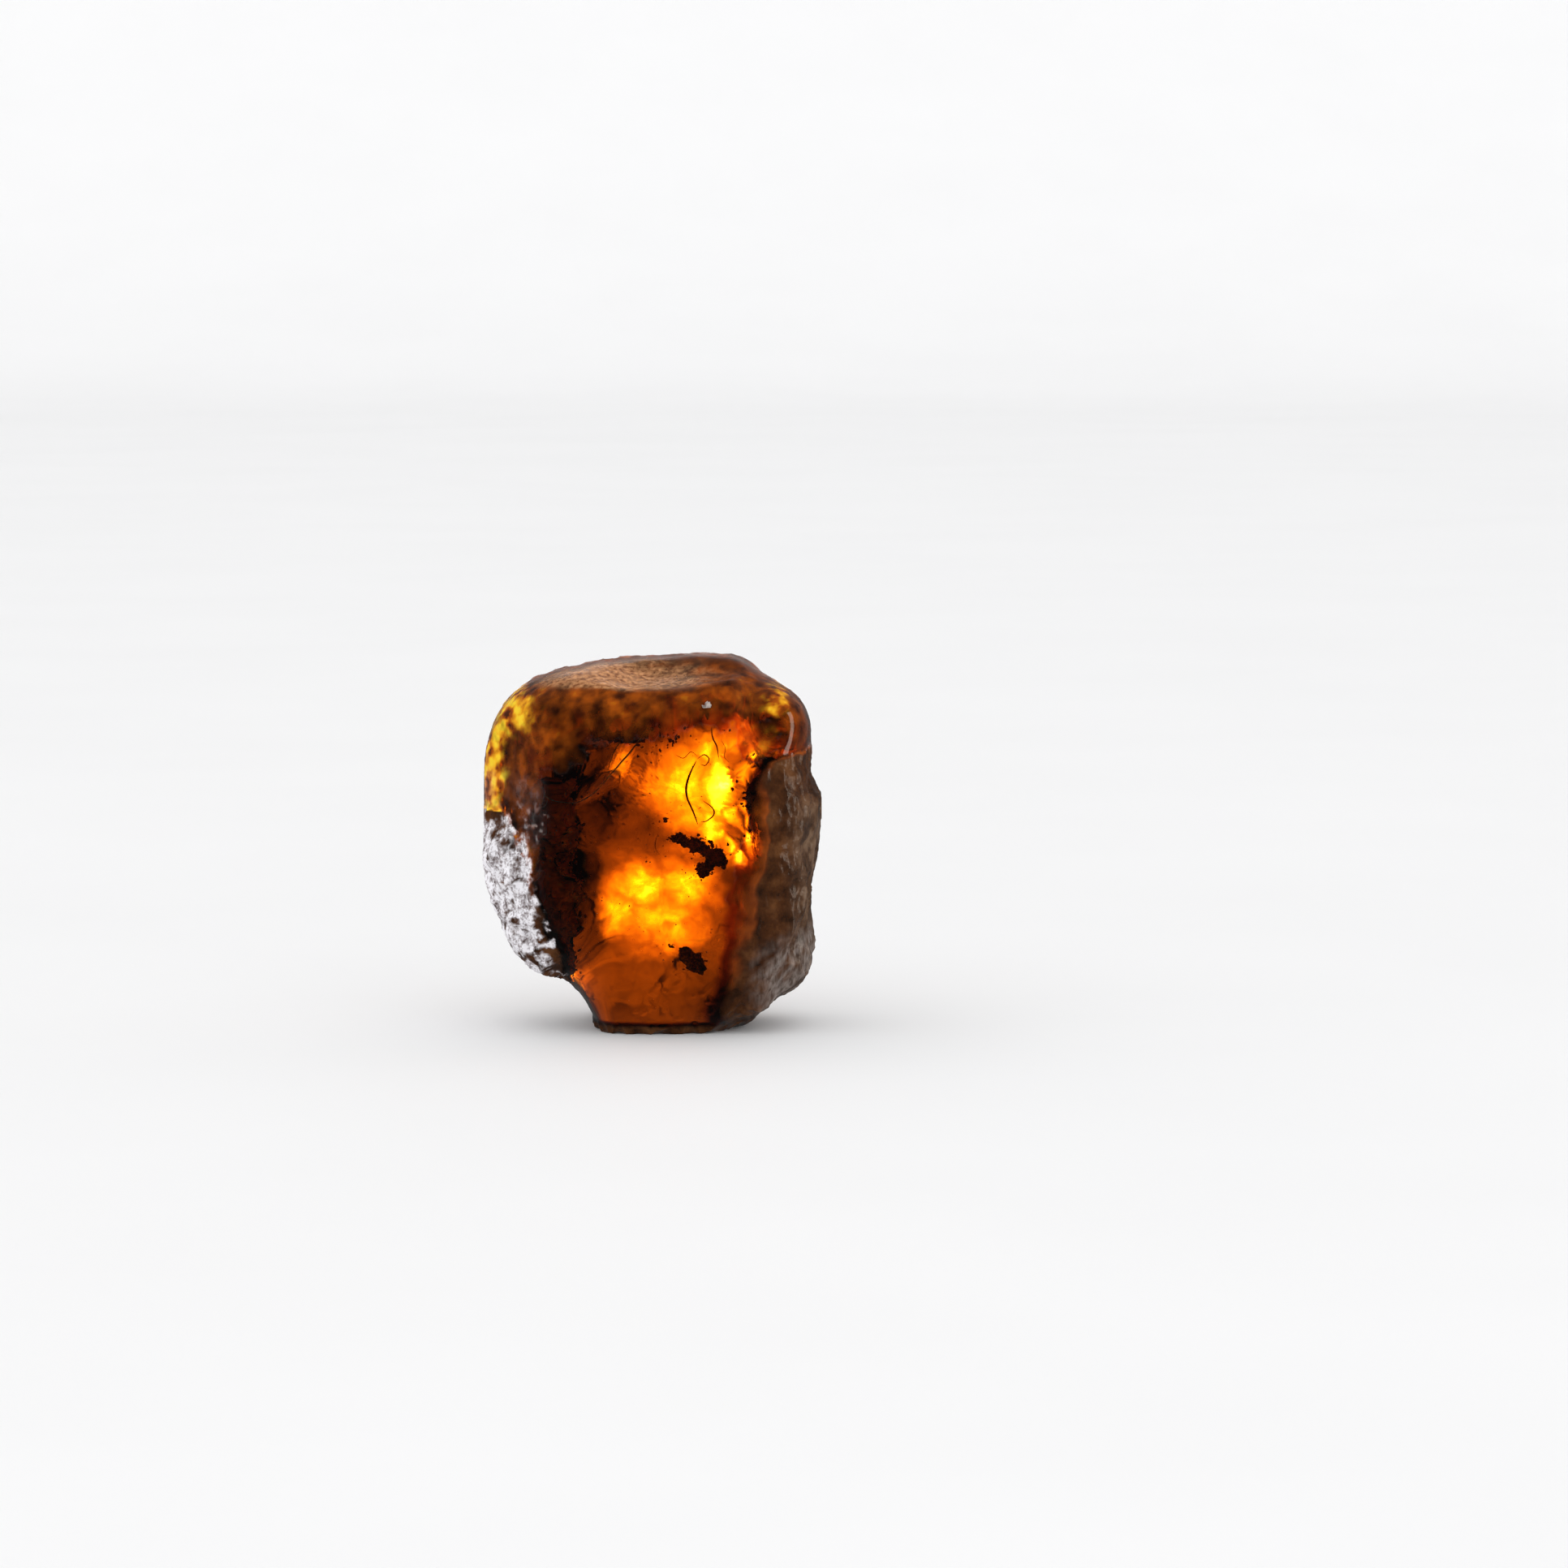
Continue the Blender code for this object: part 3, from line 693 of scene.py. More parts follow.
def grain(mesh, place, size, rng, subdivisions=1):
    """An uneven crumb."""
    scale = Matrix.Diagonal((size * rng.uniform(0.6, 1.3), size * rng.uniform(0.6, 1.3), size, 1))
    turn = Euler([rng.uniform(0, math.tau) for _ in range(3)]).to_matrix().to_4x4()
    made = bmesh.ops.create_icosphere(
        mesh, subdivisions=subdivisions, radius=1, matrix=Matrix.Translation(place) @ turn @ scale
    )
    for vertex in made["verts"]:
        vertex.co += (vertex.co - place) * rng.uniform(-0.35, 0.35)


def crumbs(inside, clusters, rng):
    """Crumbs of bark and soil, thickest in the middle of each cluster."""
    whole = bmesh.new()
    for x, z, depth, wide, tall, deep, count, small, large in clusters:
        mesh = bmesh.new()
        for _ in range(count):
            place = under_face(
                rng.gauss(x, wide), rng.gauss(z, tall), max(0.5, rng.gauss(depth, deep))
            )
            size = small + (large - small) * rng.random() ** 3
            if inside.depth(place) > size * 1.6 + 0.1:
                grain(mesh, place, size, rng, subdivisions=2 if size > ROUND_CRUMB else 1)
        whole.from_mesh(mesh_data("cluster", mesh))
    return whole


def smooth_path(points, steps=8):
    """Points on a smooth curve through the given ones."""
    ends = [2 * points[0] - points[1], *points, 2 * points[-1] - points[-2]]
    path = []
    for before, start, end, after in zip(ends, ends[1:], ends[2:], ends[3:]):
        for step in range(steps):
            t = step / steps
            path.append(
                0.5
                * (
                    2 * start
                    + (end - before) * t
                    + (2 * before - 5 * start + 4 * end - after) * t * t
                    + (3 * start - before - 3 * end + after) * t ** 3
                )
            )
    path.append(points[-1])
    return path


def thread(mesh, path, radius):
    """A tube along the path that thins out at both ends."""
    way = (path[1] - path[0]).normalized()
    turn = way.to_track_quat("Z", "Y").to_matrix().to_4x4()
    ring = bmesh.ops.create_circle(
        mesh,
        segments=THREAD_SIDES,
        radius=radius * THREAD_TIP,
        cap_ends=True,
        matrix=Matrix.Translation(path[0]) @ turn,
    )["verts"]
    edges = list({edge for vertex in ring for edge in vertex.link_edges})
    for index in range(1, len(path)):
        share = index / (len(path) - 1)
        width = radius * (THREAD_TIP + (1 - THREAD_TIP) * math.sin(math.pi * share) ** 0.6)
        way = (path[min(index + 1, len(path) - 1)] - path[index - 1]).normalized()
        new = bmesh.ops.extrude_edge_only(mesh, edges=edges)["geom"]
        ring = [g for g in new if isinstance(g, bmesh.types.BMVert)]
        edges = [g for g in new if isinstance(g, bmesh.types.BMEdge)]
        middle = sum((v.co for v in ring), Vector()) / len(ring)
        for vertex in ring:
            spoke = vertex.co - middle
            flat = spoke - way * spoke.dot(way)
            vertex.co = path[index] + flat.normalized() * width
    bmesh.ops.contextual_create(mesh, geom=edges)


def threads(inside, runs):
    """Thin tubes at the given depths, none of them through the skin."""
    mesh = bmesh.new()
    for depth, lean, radius, *places in runs:
        path = []
        for index, (x, z) in enumerate(places):
            deep = depth + lean * index / (len(places) - 1)
            place = under_face(x, z, deep)
            while inside.depth(place) < min(deep, 0.3) + radius:
                place.y += 0.05
            path.append(place)
        thread(mesh, smooth_path(path), radius)
    return mesh


def flake(mesh, outline, rng, depth, lean, thickness):
    """A torn scrap with the given outline on the face, and a torn edge between its points."""
    path = [under_face(x, z, depth) for x, z in outline]
    middle = sum(path, Vector()) / len(path)
    corners = []
    for start, end in zip(path, path[1:] + path[:1]):
        for step in range(4):
            point = start.lerp(end, step / 4)
            out = (point - middle).normalized()
            torn = point + out * rng.uniform(-0.09, 0.09)
            torn.y += lean * (point.x - middle.x)
            corners.append(torn)
    ring = [mesh.verts.new(point) for point in corners]
    face = mesh.faces.new(ring)
    made = bmesh.ops.extrude_face_region(mesh, geom=[face])["geom"]
    moved = [g for g in made if isinstance(g, bmesh.types.BMVert)]
    bmesh.ops.translate(mesh, vec=(0, thickness, 0), verts=moved)
    for vertex in moved:
        vertex.co += (middle - vertex.co) * rng.uniform(0.0, 0.15)
    faces = [f for f in mesh.faces if len(f.verts) > 4]
    bmesh.ops.triangulate(mesh, faces=faces)


ROUND_CRUMB = 0.14  # a larger crumb than this has finer faces
# x, z on the face, depth, spread in x, z and depth, how many, smallest, largest
CRUMBS = (
    (-5.7, 13.2, 4.5, 0.9, 1.8, 1.8, 110, 0.03, 0.15),
    (-5.6, 9.5, 5.0, 0.9, 2.2, 2.2, 130, 0.03, 0.18),
    (-5.2, 6.0, 4.5, 0.8, 1.2, 1.8, 90, 0.03, 0.16),
    (-5.6, 16.6, 4.0, 1.2, 1.0, 1.2, 70, 0.03, 0.14),
    (6.6, 15.1, 3.0, 0.8, 0.45, 0.6, 40, 0.04, 0.16),
    (7.2, 13.2, 3.2, 0.5, 1.0, 0.8, 50, 0.04, 0.16),
    (2.2, 12.9, 3.6, 0.8, 0.16, 0.4, 50, 0.04, 0.12),
    (3.8, 12.0, 3.6, 0.6, 0.35, 0.4, 50, 0.04, 0.15),
    (3.3, 10.9, 3.2, 0.45, 0.30, 0.3, 40, 0.04, 0.12),
    (2.6, 5.0, 3.4, 0.40, 0.34, 0.3, 30, 0.03, 0.12),
    (1.3, 6.1, 2.6, 0.14, 0.08, 0.2, 12, 0.04, 0.10),
    (0.9, 14.1, 2.4, 0.10, 0.08, 0.1, 7, 0.08, 0.14),
    (0.8, 14.0, 3.6, 1.4, 0.9, 1.4, 16, 0.03, 0.07),
    (0.3, 19.0, 4.0, 1.6, 0.5, 1.2, 90, 0.03, 0.10),
    (-8.4, 20.0, 3.0, 0.9, 1.2, 1.2, 60, 0.03, 0.14),
    (-9.2, 16.0, 3.6, 0.8, 2.0, 1.2, 40, 0.03, 0.13),
    (6.3, 18.0, 3.5, 0.9, 1.2, 1.2, 14, 0.03, 0.11),
    (8.2, 19.8, 3.0, 1.0, 1.4, 1.0, 40, 0.03, 0.10),
    (1.0, 8.0, 4.0, 3.2, 2.6, 2.4, 60, 0.02, 0.06),
    (0.0, 13.0, 6.0, 5.0, 5.5, 3.4, 70, 0.02, 0.05),
    (0.0, 21.4, 4.0, 3.6, 0.8, 1.6, 70, 0.03, 0.10),
)

# depth, how much deeper the far end is, radius, then x, z on the face along the thread
THREADS = (
    (2.6, 0.8, 0.085, (2.85, 17.8), (2.5, 17.06), (2.27, 16.3), (2.33, 15.5), (2.63, 14.67), (2.9, 13.8)),
    (2.8, 0.3, 0.050, (3.31, 15.34), (3.87, 14.87), (3.93, 14.41), (3.46, 13.99), (3.1, 13.94)),
    (2.6, 0.5, 0.045, (3.73, 19.75), (3.83, 19.13), (4.09, 18.61), (4.2, 17.9)),
    (2.6, 0.3, 0.040, (2.9, 17.89), (3.31, 18.15), (3.62, 17.89), (3.41, 17.52), (3.1, 17.6)),
    (3.0, 0.6, 0.022, (1.6, 18.2), (2.1, 18.0), (2.5, 18.3), (2.95, 18.0)),
    (3.0, 0.4, 0.020, (4.3, 19.0), (4.6, 18.5), (4.55, 18.0), (4.9, 17.6)),
    (3.2, 0.6, 0.024, (0.4, 13.2), (0.2, 12.4), (0.5, 11.8)),
)

# Cracks whose gleam is painted in their gold colour: as THREADS, just under the face.
CRACKS = (
    (0.5, 0.6, 0.050, (-3.56, 15.71), (-3.05, 16.22), (-2.58, 16.8), (-1.96, 17.47), (-1.5, 17.95)),
    (0.7, 0.5, 0.062, (-2.9, 16.4), (-2.2, 17.2), (-1.75, 17.7), (-1.2, 18.3), (-0.61, 19.24)),
    (0.9, 0.4, 0.040, (-0.9, 18.8), (-0.4, 19.6), (0.0, 20.1), (0.35, 20.7)),
    (0.6, 0.5, 0.042, (-2.8, 16.9), (-2.53, 17.78), (-2.26, 18.46), (-1.9, 19.08), (-1.75, 19.75)),
    (0.9, 0.3, 0.034, (-1.85, 19.2), (-1.75, 19.8), (-1.83, 20.3)),
)
PALE_CRACKS = (
    (0.35, 0.0, 0.045, (-7.13, 16.38), (-6.92, 16.02), (-6.67, 15.55), (-6.25, 15.29), (-5.63, 15.13)),
    (0.35, 0.0, 0.040, (-5.9, 15.2), (-4.91, 15.08), (-4.24, 15.29), (-3.56, 15.71), (-3.2, 16.05)),
    (0.30, 0.0, 0.022, (-6.5, 15.4), (-6.6, 15.0), (-6.9, 14.7)),
    (
        0.35, 0.0, 0.045,
        (-8.33, 12.69), (-8.59, 12.22), (-8.8, 11.75), (-8.91, 11.13), (-8.96, 10.4), (-8.86, 9.72),
    ),
    (0.35, 0.0, 0.030, (-8.0, 13.4), (-8.2, 13.05), (-8.33, 12.69)),
)
# x, z on the face, spread, how many specks of white dust
DUST = (
    (-6.0, 12.0, 2.2, 60),
    (-7.4, 15.0, 1.0, 26),
    (-5.0, 6.5, 1.6, 34),
    (-2.0, 18.0, 3.0, 34),
    (2.0, 10.0, 3.4, 36),
    (1.0, 21.5, 2.6, 14),
    (6.5, 8.0, 2.2, 22),
)
DUST_SIZE = (0.018, 0.050)
THREAD_SIDES = 6
THREAD_TIP = 0.15  # a thread's width at its ends, as a share of its width in the middle
# A flake put where a highlight shows, as a painted glint: its outline as x, z on the face.
GLINT = ((3.30, 21.35), (3.62, 21.70), (3.88, 21.45), (3.80, 20.95), (3.62, 20.40), (3.42, 20.75))


def dust(inside, drifts, rng):
    """Specks of white dust just under the face."""
    mesh = bmesh.new()
    for x, z, spread, count in drifts:
        for _ in range(count):
            place = under_face(rng.gauss(x, spread), rng.gauss(z, spread), 0)
            for _ in range(40):
                if inside.depth(place) > 0.12:
                    break
                place.y += 0.1
            size = rng.uniform(*DUST_SIZE)
            if inside.depth(place) > 0.1:
                grain(mesh, place, size, rng)
    return mesh


def clots(names, rng, fineness, stuck, worn):
    """The solid clots with a ragged skin and crumbs stuck all over them.

    The skin's faces have the given fineness. Each square millimetre has so many stuck crumbs, and the
    skin is worn back by about the given depth.
    """
    mesh = bmesh.new()
    for name in names:
        solid = solid_copy(name)
        faces = list(solid.faces)
        areas = [face.calc_area() for face in faces]
        for face in rng.choices(faces, areas, k=int(stuck * sum(areas))):
            size = fineness * rng.uniform(1.2, 4.0)
            grain(mesh, face.calc_center_median() + face.normal * size * 0.3, size, rng, subdivisions=2)
        mesh.from_mesh(mesh_data("clot skin", solid))
    data = evened("clots", mesh, fineness)
    points, normals = points_of(data), normals_of(data)
    ragged = fineness * (2.4 * waves(points, 5 * fineness, 41, 4) - 0.5)
    ragged = ragged - worn * (0.6 + 0.4 * waves(points, 1.0, 42, 2))
    put_points(data, points + normals * ragged[:, None])
    grown = bmesh.new()
    grown.from_mesh(data)
    return grown


def sealed_things(lump):
    """Everything that the resin closed round."""
    rng = random.Random(SEED)
    inside = Inside(lump)
    bark = bark_brown()
    finished("bark_crumbs", crumbs(inside, CRUMBS, rng), bark)
    ragged = clots(BARK_CLOTS, rng, fineness=0.07, stuck=16, worn=0.08)
    finished("bark_clots", ragged, bark, replaced=BARK_CLOTS)
    finished("plant_threads", threads(inside, THREADS), bark)
    soil = clots(SOIL_CLOTS, rng, fineness=0.13, stuck=2.5, worn=0.35)
    mass = finished("soil_mass", soil, old_soil(), SOIL_CLOTS)
    # Painted shade: the soil mass darkens where it faces away from the front.
    add_share(mass.data, "painted_shade", soft_step(normals_of(mass.data)[:, 1], -0.5, 0.1))
    # Painted highlight: the cracks' gleam is their gold colour.
    finished("gleaming_cracks", threads(inside, CRACKS), painted_crack_gleam())
    pale = pale_dust_and_glint()
    finished("pale_cracks", threads(inside, PALE_CRACKS), pale)
    finished("white_dust", dust(inside, DUST, rng), pale)
    # Painted highlight: a grey flake where a glint shows on the face.
    glint = bmesh.new()
    flake(glint, GLINT, rng, depth=0.7, lean=0.1, thickness=0.05)
    finished("painted_glint_flake", glint, pale)


# ---------------------------------------------------------------- finishes


class Finish:
    """The node tree of a material or a world, with short ways to add to it."""

    def __init__(self, owner):
        self.owner = owner
        owner.use_nodes = True
        self.nodes = owner.node_tree.nodes
        self.links = owner.node_tree.links
        self.places = self.nodes.new("ShaderNodeTexCoord").outputs

    def feed(self, socket, value):
        if isinstance(value, bpy.types.NodeSocket):
            self.links.new(value, socket)
        else:
            socket.default_value = value

    def share(self, name):
        node = self.nodes.new("ShaderNodeAttribute")
        node.attribute_name = name
        return node.outputs["Fac"]

    def math(self, operation, first, second=0.0, clamp=False):
        node = self.nodes.new("ShaderNodeMath")
        node.operation = operation
        node.use_clamp = clamp
        self.feed(node.inputs[0], first)
        self.feed(node.inputs[1], second)
        return node.outputs[0]

    def noise(self, size, detail=3.0, roughness=0.55, stretch=(1, 1, 1)):
        """Noise whose lumps have the given size in millimetres."""
        mapping = self.nodes.new("ShaderNodeMapping")
        mapping.inputs["Scale"].default_value = stretch
        self.links.new(self.places["Object"], mapping.inputs["Vector"])
        node = self.nodes.new("ShaderNodeTexNoise")
        node.inputs["Scale"].default_value = 1 / (size * MM)
        node.inputs["Detail"].default_value = detail
        node.inputs["Roughness"].default_value = roughness
        self.links.new(mapping.outputs[0], node.inputs["Vector"])
        return node.outputs["Fac"]

    def ramp(self, value, *stops):
        """A colour for each (position, colour) stop."""
        node = self.nodes.new("ShaderNodeValToRGB")
        elements = node.color_ramp.elements
        while len(elements) < len(stops):
            elements.new(0.5)
        for element, (position, colour) in zip(elements, stops):
            element.position = position
            element.color = (*colour, 1)
        self.links.new(value, node.inputs["Fac"])
        return node.outputs["Color"]

    def levels(self, value, *stops):
        """A number for each (position, number) stop."""
        return self.ramp(value, *((position, (number,) * 3) for position, number in stops))

    def squared(self, colour):
        """The colour that tints what it lets through by the given one, which a surface does by its root."""
        node = self.nodes.new("ShaderNodeGamma")
        node.inputs["Gamma"].default_value = 2.0
        self.links.new(colour, node.inputs["Color"])
        return node.outputs["Color"]

    def curve(self, value, from_low, from_high, to_low, to_high):
        node = self.nodes.new("ShaderNodeMapRange")
        node.clamp = True
        self.links.new(value, node.inputs["Value"])
        for name, number in zip(
            ("From Min", "From Max", "To Min", "To Max"), (from_low, from_high, to_low, to_high)
        ):
            self.feed(node.inputs[name], number)
        return node.outputs["Result"]

    def blend(self, share, first, second, kind="RGBA"):
        node = self.nodes.new("ShaderNodeMix")
        node.data_type = kind
        self.feed(node.inputs["Factor"], share)
        self.feed(node.inputs["A"], first)
        self.feed(node.inputs["B"], second)
        return node.outputs["Result"]

    def blend_number(self, share, first, second):
        return self.blend(share, first, second, "FLOAT")

    def bump(self, height, depth, under=None):
        """A bump whose full height is the depth in millimetres."""
        node = self.nodes.new("ShaderNodeBump")
        node.inputs["Distance"].default_value = depth * MM
        self.links.new(height, node.inputs["Height"])
        if under is not None:
            self.links.new(under, node.inputs["Normal"])
        return node.outputs["Normal"]

    def set(self, **sockets):
        """Feeds the shader's sockets and gives back the material."""
        shader = self.nodes["Principled BSDF"]
        for name, value in sockets.items():
            self.feed(shader.inputs[name.replace("_", " ").title().replace("Ior", "IOR")], value)
        return self.owner


def new_finish(name):
    return Finish(bpy.data.materials.new(name))


def rind_colour(f, streak, outer, bevel_sheen):
    """Brown rind that is greyer at the outer edge, with grey streaks of painted highlight on its slanting
    part.
    """
    broad = f.noise(1.6, 4.0, 0.6)
    inner_rind = f.ramp(
        broad,
        (0.35, (0.022, 0.007, 0.002)),
        (0.50, (0.062, 0.019, 0.004)),
        (0.65, (0.125, 0.045, 0.012)),
    )
    outer_rind = f.ramp(
        broad,
        (0.35, (0.034, 0.015, 0.007)),
        (0.50, (0.080, 0.039, 0.019)),
        (0.65, (0.170, 0.102, 0.060)),
    )
    # The pale streaks on the slanting part are a painted highlight.
    worn = f.ramp(streak, (0.35, (0.085, 0.062, 0.050)), (0.65, (0.30, 0.25, 0.225)))
    return f.blend(bevel_sheen, f.blend(outer, inner_rind, outer_rind), worn)


def window_colour(f, level, mottle):
    """Amber that is paler the more light it lets in, and bark brown where it lets in next to none."""
    bark = f.ramp(
        mottle,
        (0.22, (0.014, 0.006, 0.002)),
        (0.40, (0.040, 0.019, 0.007)),
        (0.66, (0.090, 0.048, 0.020)),
    )
    glass = f.ramp(
        level,
        (0.0, (0.0, 0.0, 0.0)),
        (0.012, (0.115, 0.032, 0.0023)),
        (0.035, (0.167, 0.047, 0.0033)),
        (0.12, (0.233, 0.067, 0.004)),
        (0.25, (0.300, 0.120, 0.006)),
        (0.40, (0.371, 0.236, 0.0086)),
        (0.70, (0.760, 0.700, 0.174)),
        (1.0, (1.0, 1.0, 1.0)),
    )
    return f.blend(f.curve(level, 0.005, 0.0095, 0.0, 1.0), bark, f.squared(glass))


def amber_resin():
    """Clear resin where the skin is clean, dark rind elsewhere, and a painted silvery sheen on part of it,
    which is a painted reflection.
    """
    f = new_finish("amber resin")
    rind, back, clear, painted_sheen, tan_reflection = (
        f.share(name) for name in ("rind", "back", "clear", "painted_sheen", "tan_reflection")
    )
    dull, outer, bevel_sheen, cloud, painted_glow_hue = (
        f.share(name) for name in ("dull", "outer", "bevel_sheen", "cloud", "painted_glow_hue")
    )
    grit = f.noise(0.5, 4.0)
    fine = f.noise(0.14, 3.0)
    streak = f.noise(0.30, 4.0, stretch=(1, 1, 0.25))

    mottle = f.math("MULTIPLY", grit, f.curve(streak, 0.3, 0.7, 0.7, 1.3))
    level = f.math("MULTIPLY", clear, f.curve(grit, 0.3, 0.7, 0.8, 1.15), clamp=True)
    behind = window_colour(f, level, mottle)
    open_share = f.levels(
        level,
        (0.0, 0.0),
        (0.010, 0.0),
        (0.013, 0.06),
        (0.035, 0.12),
        (0.12, 0.30),
        (0.25, 0.50),
        (0.40, 0.70),
        (0.70, 0.92),
        (1.0, 1.0),
    )

    # The front and sides: clear resin that darkens and browns under a rind of growing thickness.
    thin = f.ramp(
        rind,
        (0.0, (1.0, 0.99, 0.97)),
        (0.08, (0.55, 0.40, 0.28)),
        (0.20, (0.16, 0.085, 0.045)),
        (0.45, (0.05, 0.022, 0.010)),
    )
    thick = rind_colour(f, streak, outer, bevel_sheen)
    before = f.blend(f.curve(rind, 0.45, 0.95, 0.0, 1.0), f.squared(thin), thick)
    before_through = f.curve(rind, 0.30, 0.70, 1.0, 0.0)

    # Painted reflection: a warm tan reflection on the scoop on the top, as its colour.
    tan = f.ramp(streak, (0.35, (0.22, 0.075, 0.026)), (0.65, (0.66, 0.31, 0.13)))
    # Cloudy resin from brown to bright yellow, the bright yellow being a painted glow of light coming
    # through.
    murk_and_glow = f.ramp(
        painted_glow_hue,
        (0.0, (0.070, 0.013, 0.002)),
        (0.30, (0.42, 0.085, 0.004)),
        (0.65, (0.90, 0.400, 0.014)),
        (0.9, (1.0, 0.660, 0.030)),
    )
    # Painted reflection: the silver-white sheen of a bright light, as the colour of the rind at the left.
    silver_sheen = f.ramp(
        f.blend_number(0.45, mottle, fine),
        (0.34, (0.07, 0.045, 0.04)),
        (0.43, (0.36, 0.32, 0.33)),
        (0.55, (0.90, 0.88, 0.92)),
    )
    # A clear surface takes the colour of what covers it before it lets any less light through.
    colour = f.blend(back, before, behind)
    colour = f.blend(f.curve(cloud, 0.0, 0.12, 0.0, 1.0), colour, murk_and_glow)
    colour = f.blend(f.curve(tan_reflection, 0.0, 0.15, 0.0, 1.0), colour, tan)
    colour = f.blend(painted_sheen, colour, silver_sheen)
    through = f.blend_number(back, before_through, open_share)
    through = f.math("MULTIPLY", through, f.curve(cloud, 0.08, 0.65, 1.0, 0.15))
    through = f.math("MULTIPLY", through, f.curve(tan_reflection, 0.1, 0.8, 1.0, 0.15))
    through = f.math("MULTIPLY", through, f.curve(painted_sheen, 0.1, 0.6, 1.0, 0.0))

    rough_front = f.curve(rind, 0.1, 0.8, 0.03, 0.20)
    rough_back = f.curve(level, 0.05, 0.7, 0.42, 0.10)
    rough_front = f.math("MAXIMUM", rough_front, f.curve(dull, 0.0, 1.0, 0.0, 0.30))
    roughness = f.blend_number(back, rough_front, rough_back)
    roughness = f.blend_number(tan_reflection, roughness, 0.34)
    roughness = f.blend_number(painted_sheen, roughness, 0.22)
    crusted = f.math("MULTIPLY", back, f.curve(level, 0.010, 0.05, 0.6, 0.0))
    textured = f.math("MULTIPLY", fine, f.math("MAXIMUM", f.math("MULTIPLY", rind, 0.6), crusted))
    lines = f.math("MULTIPLY", streak, f.math("MAXIMUM", tan_reflection, rind))
    haze = f.nodes.new("ShaderNodeVolumeAbsorption")
    haze.inputs["Color"].default_value = RESIN_TINT
    haze.inputs["Density"].default_value = RESIN_DENSITY
    f.links.new(haze.outputs[0], f.nodes["Material Output"].inputs["Volume"])
    return f.set(
        base_color=colour,
        transmission_weight=through,
        roughness=roughness,
        ior=RESIN_IOR,
        specular_tint=f.blend(back, (1, 1, 1, 1), AMBER_SHEEN),
        normal=f.bump(lines, 0.045, f.bump(textured, 0.03)),
    )


def bark_brown():
    """Dark rotten bark and soil."""
    f = new_finish("bark brown")
    mottle = f.noise(0.25, 4.0)
    colour = f.ramp(
        mottle,
        (0.3, (0.12, 0.022, 0.008)),
        (0.5, (0.55, 0.120, 0.024)),
        (0.7, (1.00, 0.380, 0.080)),
    )
    rough = f.curve(mottle, 0.3, 0.7, 0.5, 0.8)
    return f.set(base_color=colour, roughness=rough, normal=f.bump(mottle, 0.03))


def old_soil():
    """The dark reddish mass on the left."""
    f = new_finish("old soil")
    mottle = f.noise(0.7, 5.0, 0.65)
    colour = f.ramp(
        mottle,
        (0.30, (0.26, 0.060, 0.040)),
        (0.44, (0.62, 0.150, 0.080)),
        (0.58, (0.95, 0.300, 0.120)),
        (0.72, (1.00, 0.550, 0.260)),
    )
    # Painted shade on the side that faces away from the front.
    colour = f.blend(f.share("painted_shade"), colour, SOIL_IN_SHADE)
    rough = f.curve(mottle, 0.3, 0.7, 0.5, 0.8)
    return f.set(base_color=colour, roughness=rough, normal=f.bump(mottle, 0.08))


def painted_crack_gleam():
    """The thin gleam along a crack, painted as a bright gold colour."""
    f = new_finish("painted crack gleam")
    gleam = f.noise(0.5, 3.0)
    colour = f.ramp(
        gleam,
        (0.34, (0.45, 0.13, 0.02)),
        (0.48, (0.95, 0.46, 0.08)),
        (0.62, (1.00, 0.78, 0.30)),
    )
    return f.set(base_color=colour, roughness=f.curve(gleam, 0.3, 0.7, 0.35, 0.6))


def pale_dust_and_glint():
    """White dust, and the grey gleam of a tiny flake that is a painted highlight."""
    f = new_finish("pale dust and glint")
    speck = f.noise(0.2, 2.0)
    colour = f.ramp(speck, (0.35, (0.20, 0.15, 0.13)), (0.6, (0.50, 0.43, 0.39)))
    return f.set(base_color=colour, roughness=f.curve(speck, 0.3, 0.7, 0.4, 0.7))


# ---------------------------------------------------------------- stage, lights and camera


def plain(name, colour, roughness):
    """A nearly even colour."""
    f = new_finish(name)
    speck = f.noise(40, 2.0)
    pale = f.ramp(speck, (0.3, tuple(c * 0.985 for c in colour)), (0.7, colour))
    return f.set(base_color=pale, roughness=roughness)


def table():
    """A pale floor that curves up far behind."""
    mesh = bmesh.new()
    bmesh.ops.create_grid(mesh, x_segments=1, y_segments=1, size=FLOOR_SIZE)
    far = [e for e in mesh.edges if all(v.co.y > 0.99 * FLOOR_SIZE for v in e.verts)]
    bend = bmesh.ops.spin(
        mesh,
        geom=far,
        cent=(0, FLOOR_SIZE, FLOOR_BEND),
        axis=(1, 0, 0),
        angle=math.pi / 2,
        steps=FLOOR_STEPS,
    )["geom_last"]
    wall = bmesh.ops.extrude_edge_only(mesh, edges=[g for g in bend if isinstance(g, bmesh.types.BMEdge)])
    raised = [g for g in wall["geom"] if isinstance(g, bmesh.types.BMVert)]
    bmesh.ops.translate(mesh, vec=(0, 0, FLOOR_SIZE), verts=raised)
    bmesh.ops.recalc_face_normals(mesh, faces=mesh.faces)
    floor = linked("pale_floor", mesh_data("pale_floor", mesh))
    floor.data.shade_smooth()
    floor.data.materials.append(plain("pale paper", PAPER, 0.7))
    floor.visible_glossy = False
    floor.visible_transmission = False


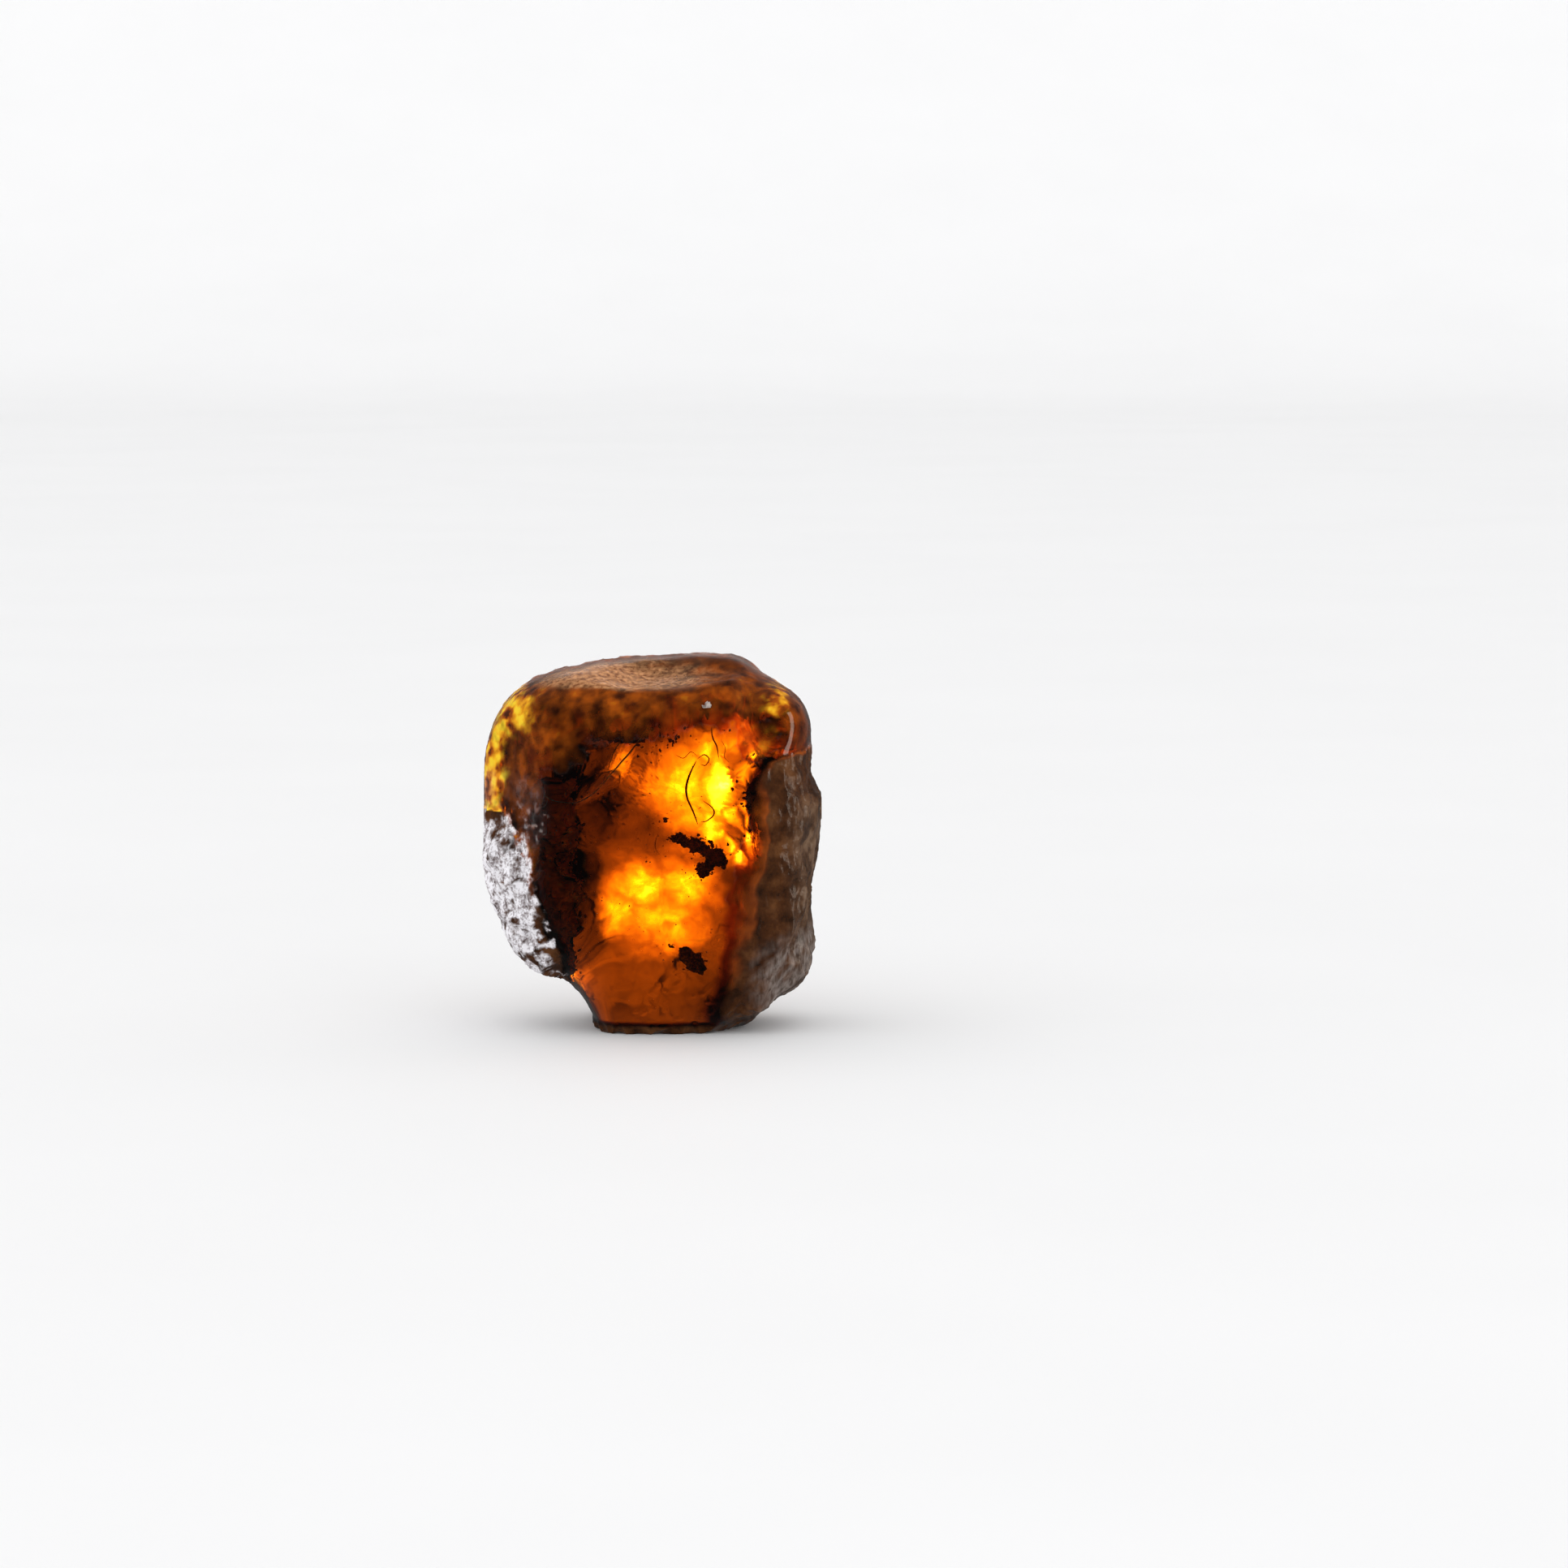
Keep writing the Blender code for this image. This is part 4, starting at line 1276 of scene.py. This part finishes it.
def soft_light(name, place, target, size, radiance):
    """A rectangular soft light that shines at the target and doesn't show itself."""
    light = bpy.data.lights.new(name, "AREA")
    light.shape = "RECTANGLE"
    light.size, light.size_y = (side * MM for side in size)
    light.energy = radiance * math.pi * light.size * light.size_y
    lamp = linked(name, light)
    place, target = Vector(place) * MM, Vector(target) * MM
    turn = (target - place).to_track_quat("-Z", "Y").to_matrix().to_4x4()
    lamp.matrix_world = Matrix.Translation(place) @ turn
    lamp.visible_camera = False
    return lamp


def amber_lights():
    """A bright window behind the lump and a soft one on each side, which leave the table even."""
    lit = bpy.data.collections.new("lit amber")
    for piece in bpy.context.scene.objects:
        if piece.type == "MESH":
            lit.objects.link(piece)
    back = soft_light("back panel", (4, 110, 26), (1, 0, 13), (150, 120), BACK_RADIANCE)
    back.visible_glossy = False
    left = soft_light("left panel", (-130, 60, 16), (-7, -2, 8), (150, 32), LEFT_RADIANCE)
    left.visible_glossy = False
    right = soft_light("right panel", (150, -30, 30), (7, -3, 10), (36, 120), RIGHT_RADIANCE)
    right.data.color = WARM
    for lamp in (back, left, right):
        lamp.light_linking.receiver_collection = lit


def room():
    """A white room that is dimmer in gloss, most of all in front of the lump."""
    world = bpy.data.worlds.new("white room")
    bpy.context.scene.world = world
    world.cycles.sampling_method = "NONE"  # found by scattered rays alone, which tell gloss from the rest
    f = Finish(world)
    split = f.nodes.new("ShaderNodeSeparateXYZ")
    f.links.new(f.places["Generated"], split.inputs[0])
    gloss = f.curve(split.outputs["Y"], *ROOM_GLOSS)
    path = f.nodes.new("ShaderNodeLightPath").outputs
    plain_light = f.blend_number(path["Is Transmission Ray"], ROOM_LIGHT, RESIN_LIGHT)
    background = f.nodes["Background"].inputs
    background["Color"].default_value = (1, 1, 1, 1)
    f.feed(background["Strength"], f.blend_number(path["Is Glossy Ray"], plain_light, gloss))


def camera():
    lens = bpy.data.cameras.new("camera")
    lens.lens = LENS
    lens.sensor_width = SENSOR
    lens.clip_start = 0.01
    lens.clip_end = 5.0
    seen_from = linked("camera", lens)
    seen_from.location = EYE * MM
    seen_from.rotation_euler = (math.pi / 2 - LOOK_DOWN, 0, 0)
    bpy.context.scene.camera = seen_from


clear_factory_objects()
bpy.context.scene.view_settings.view_transform = "Standard"
sealed_things(amber_lump())
amber_lights()
table()
room()
camera()
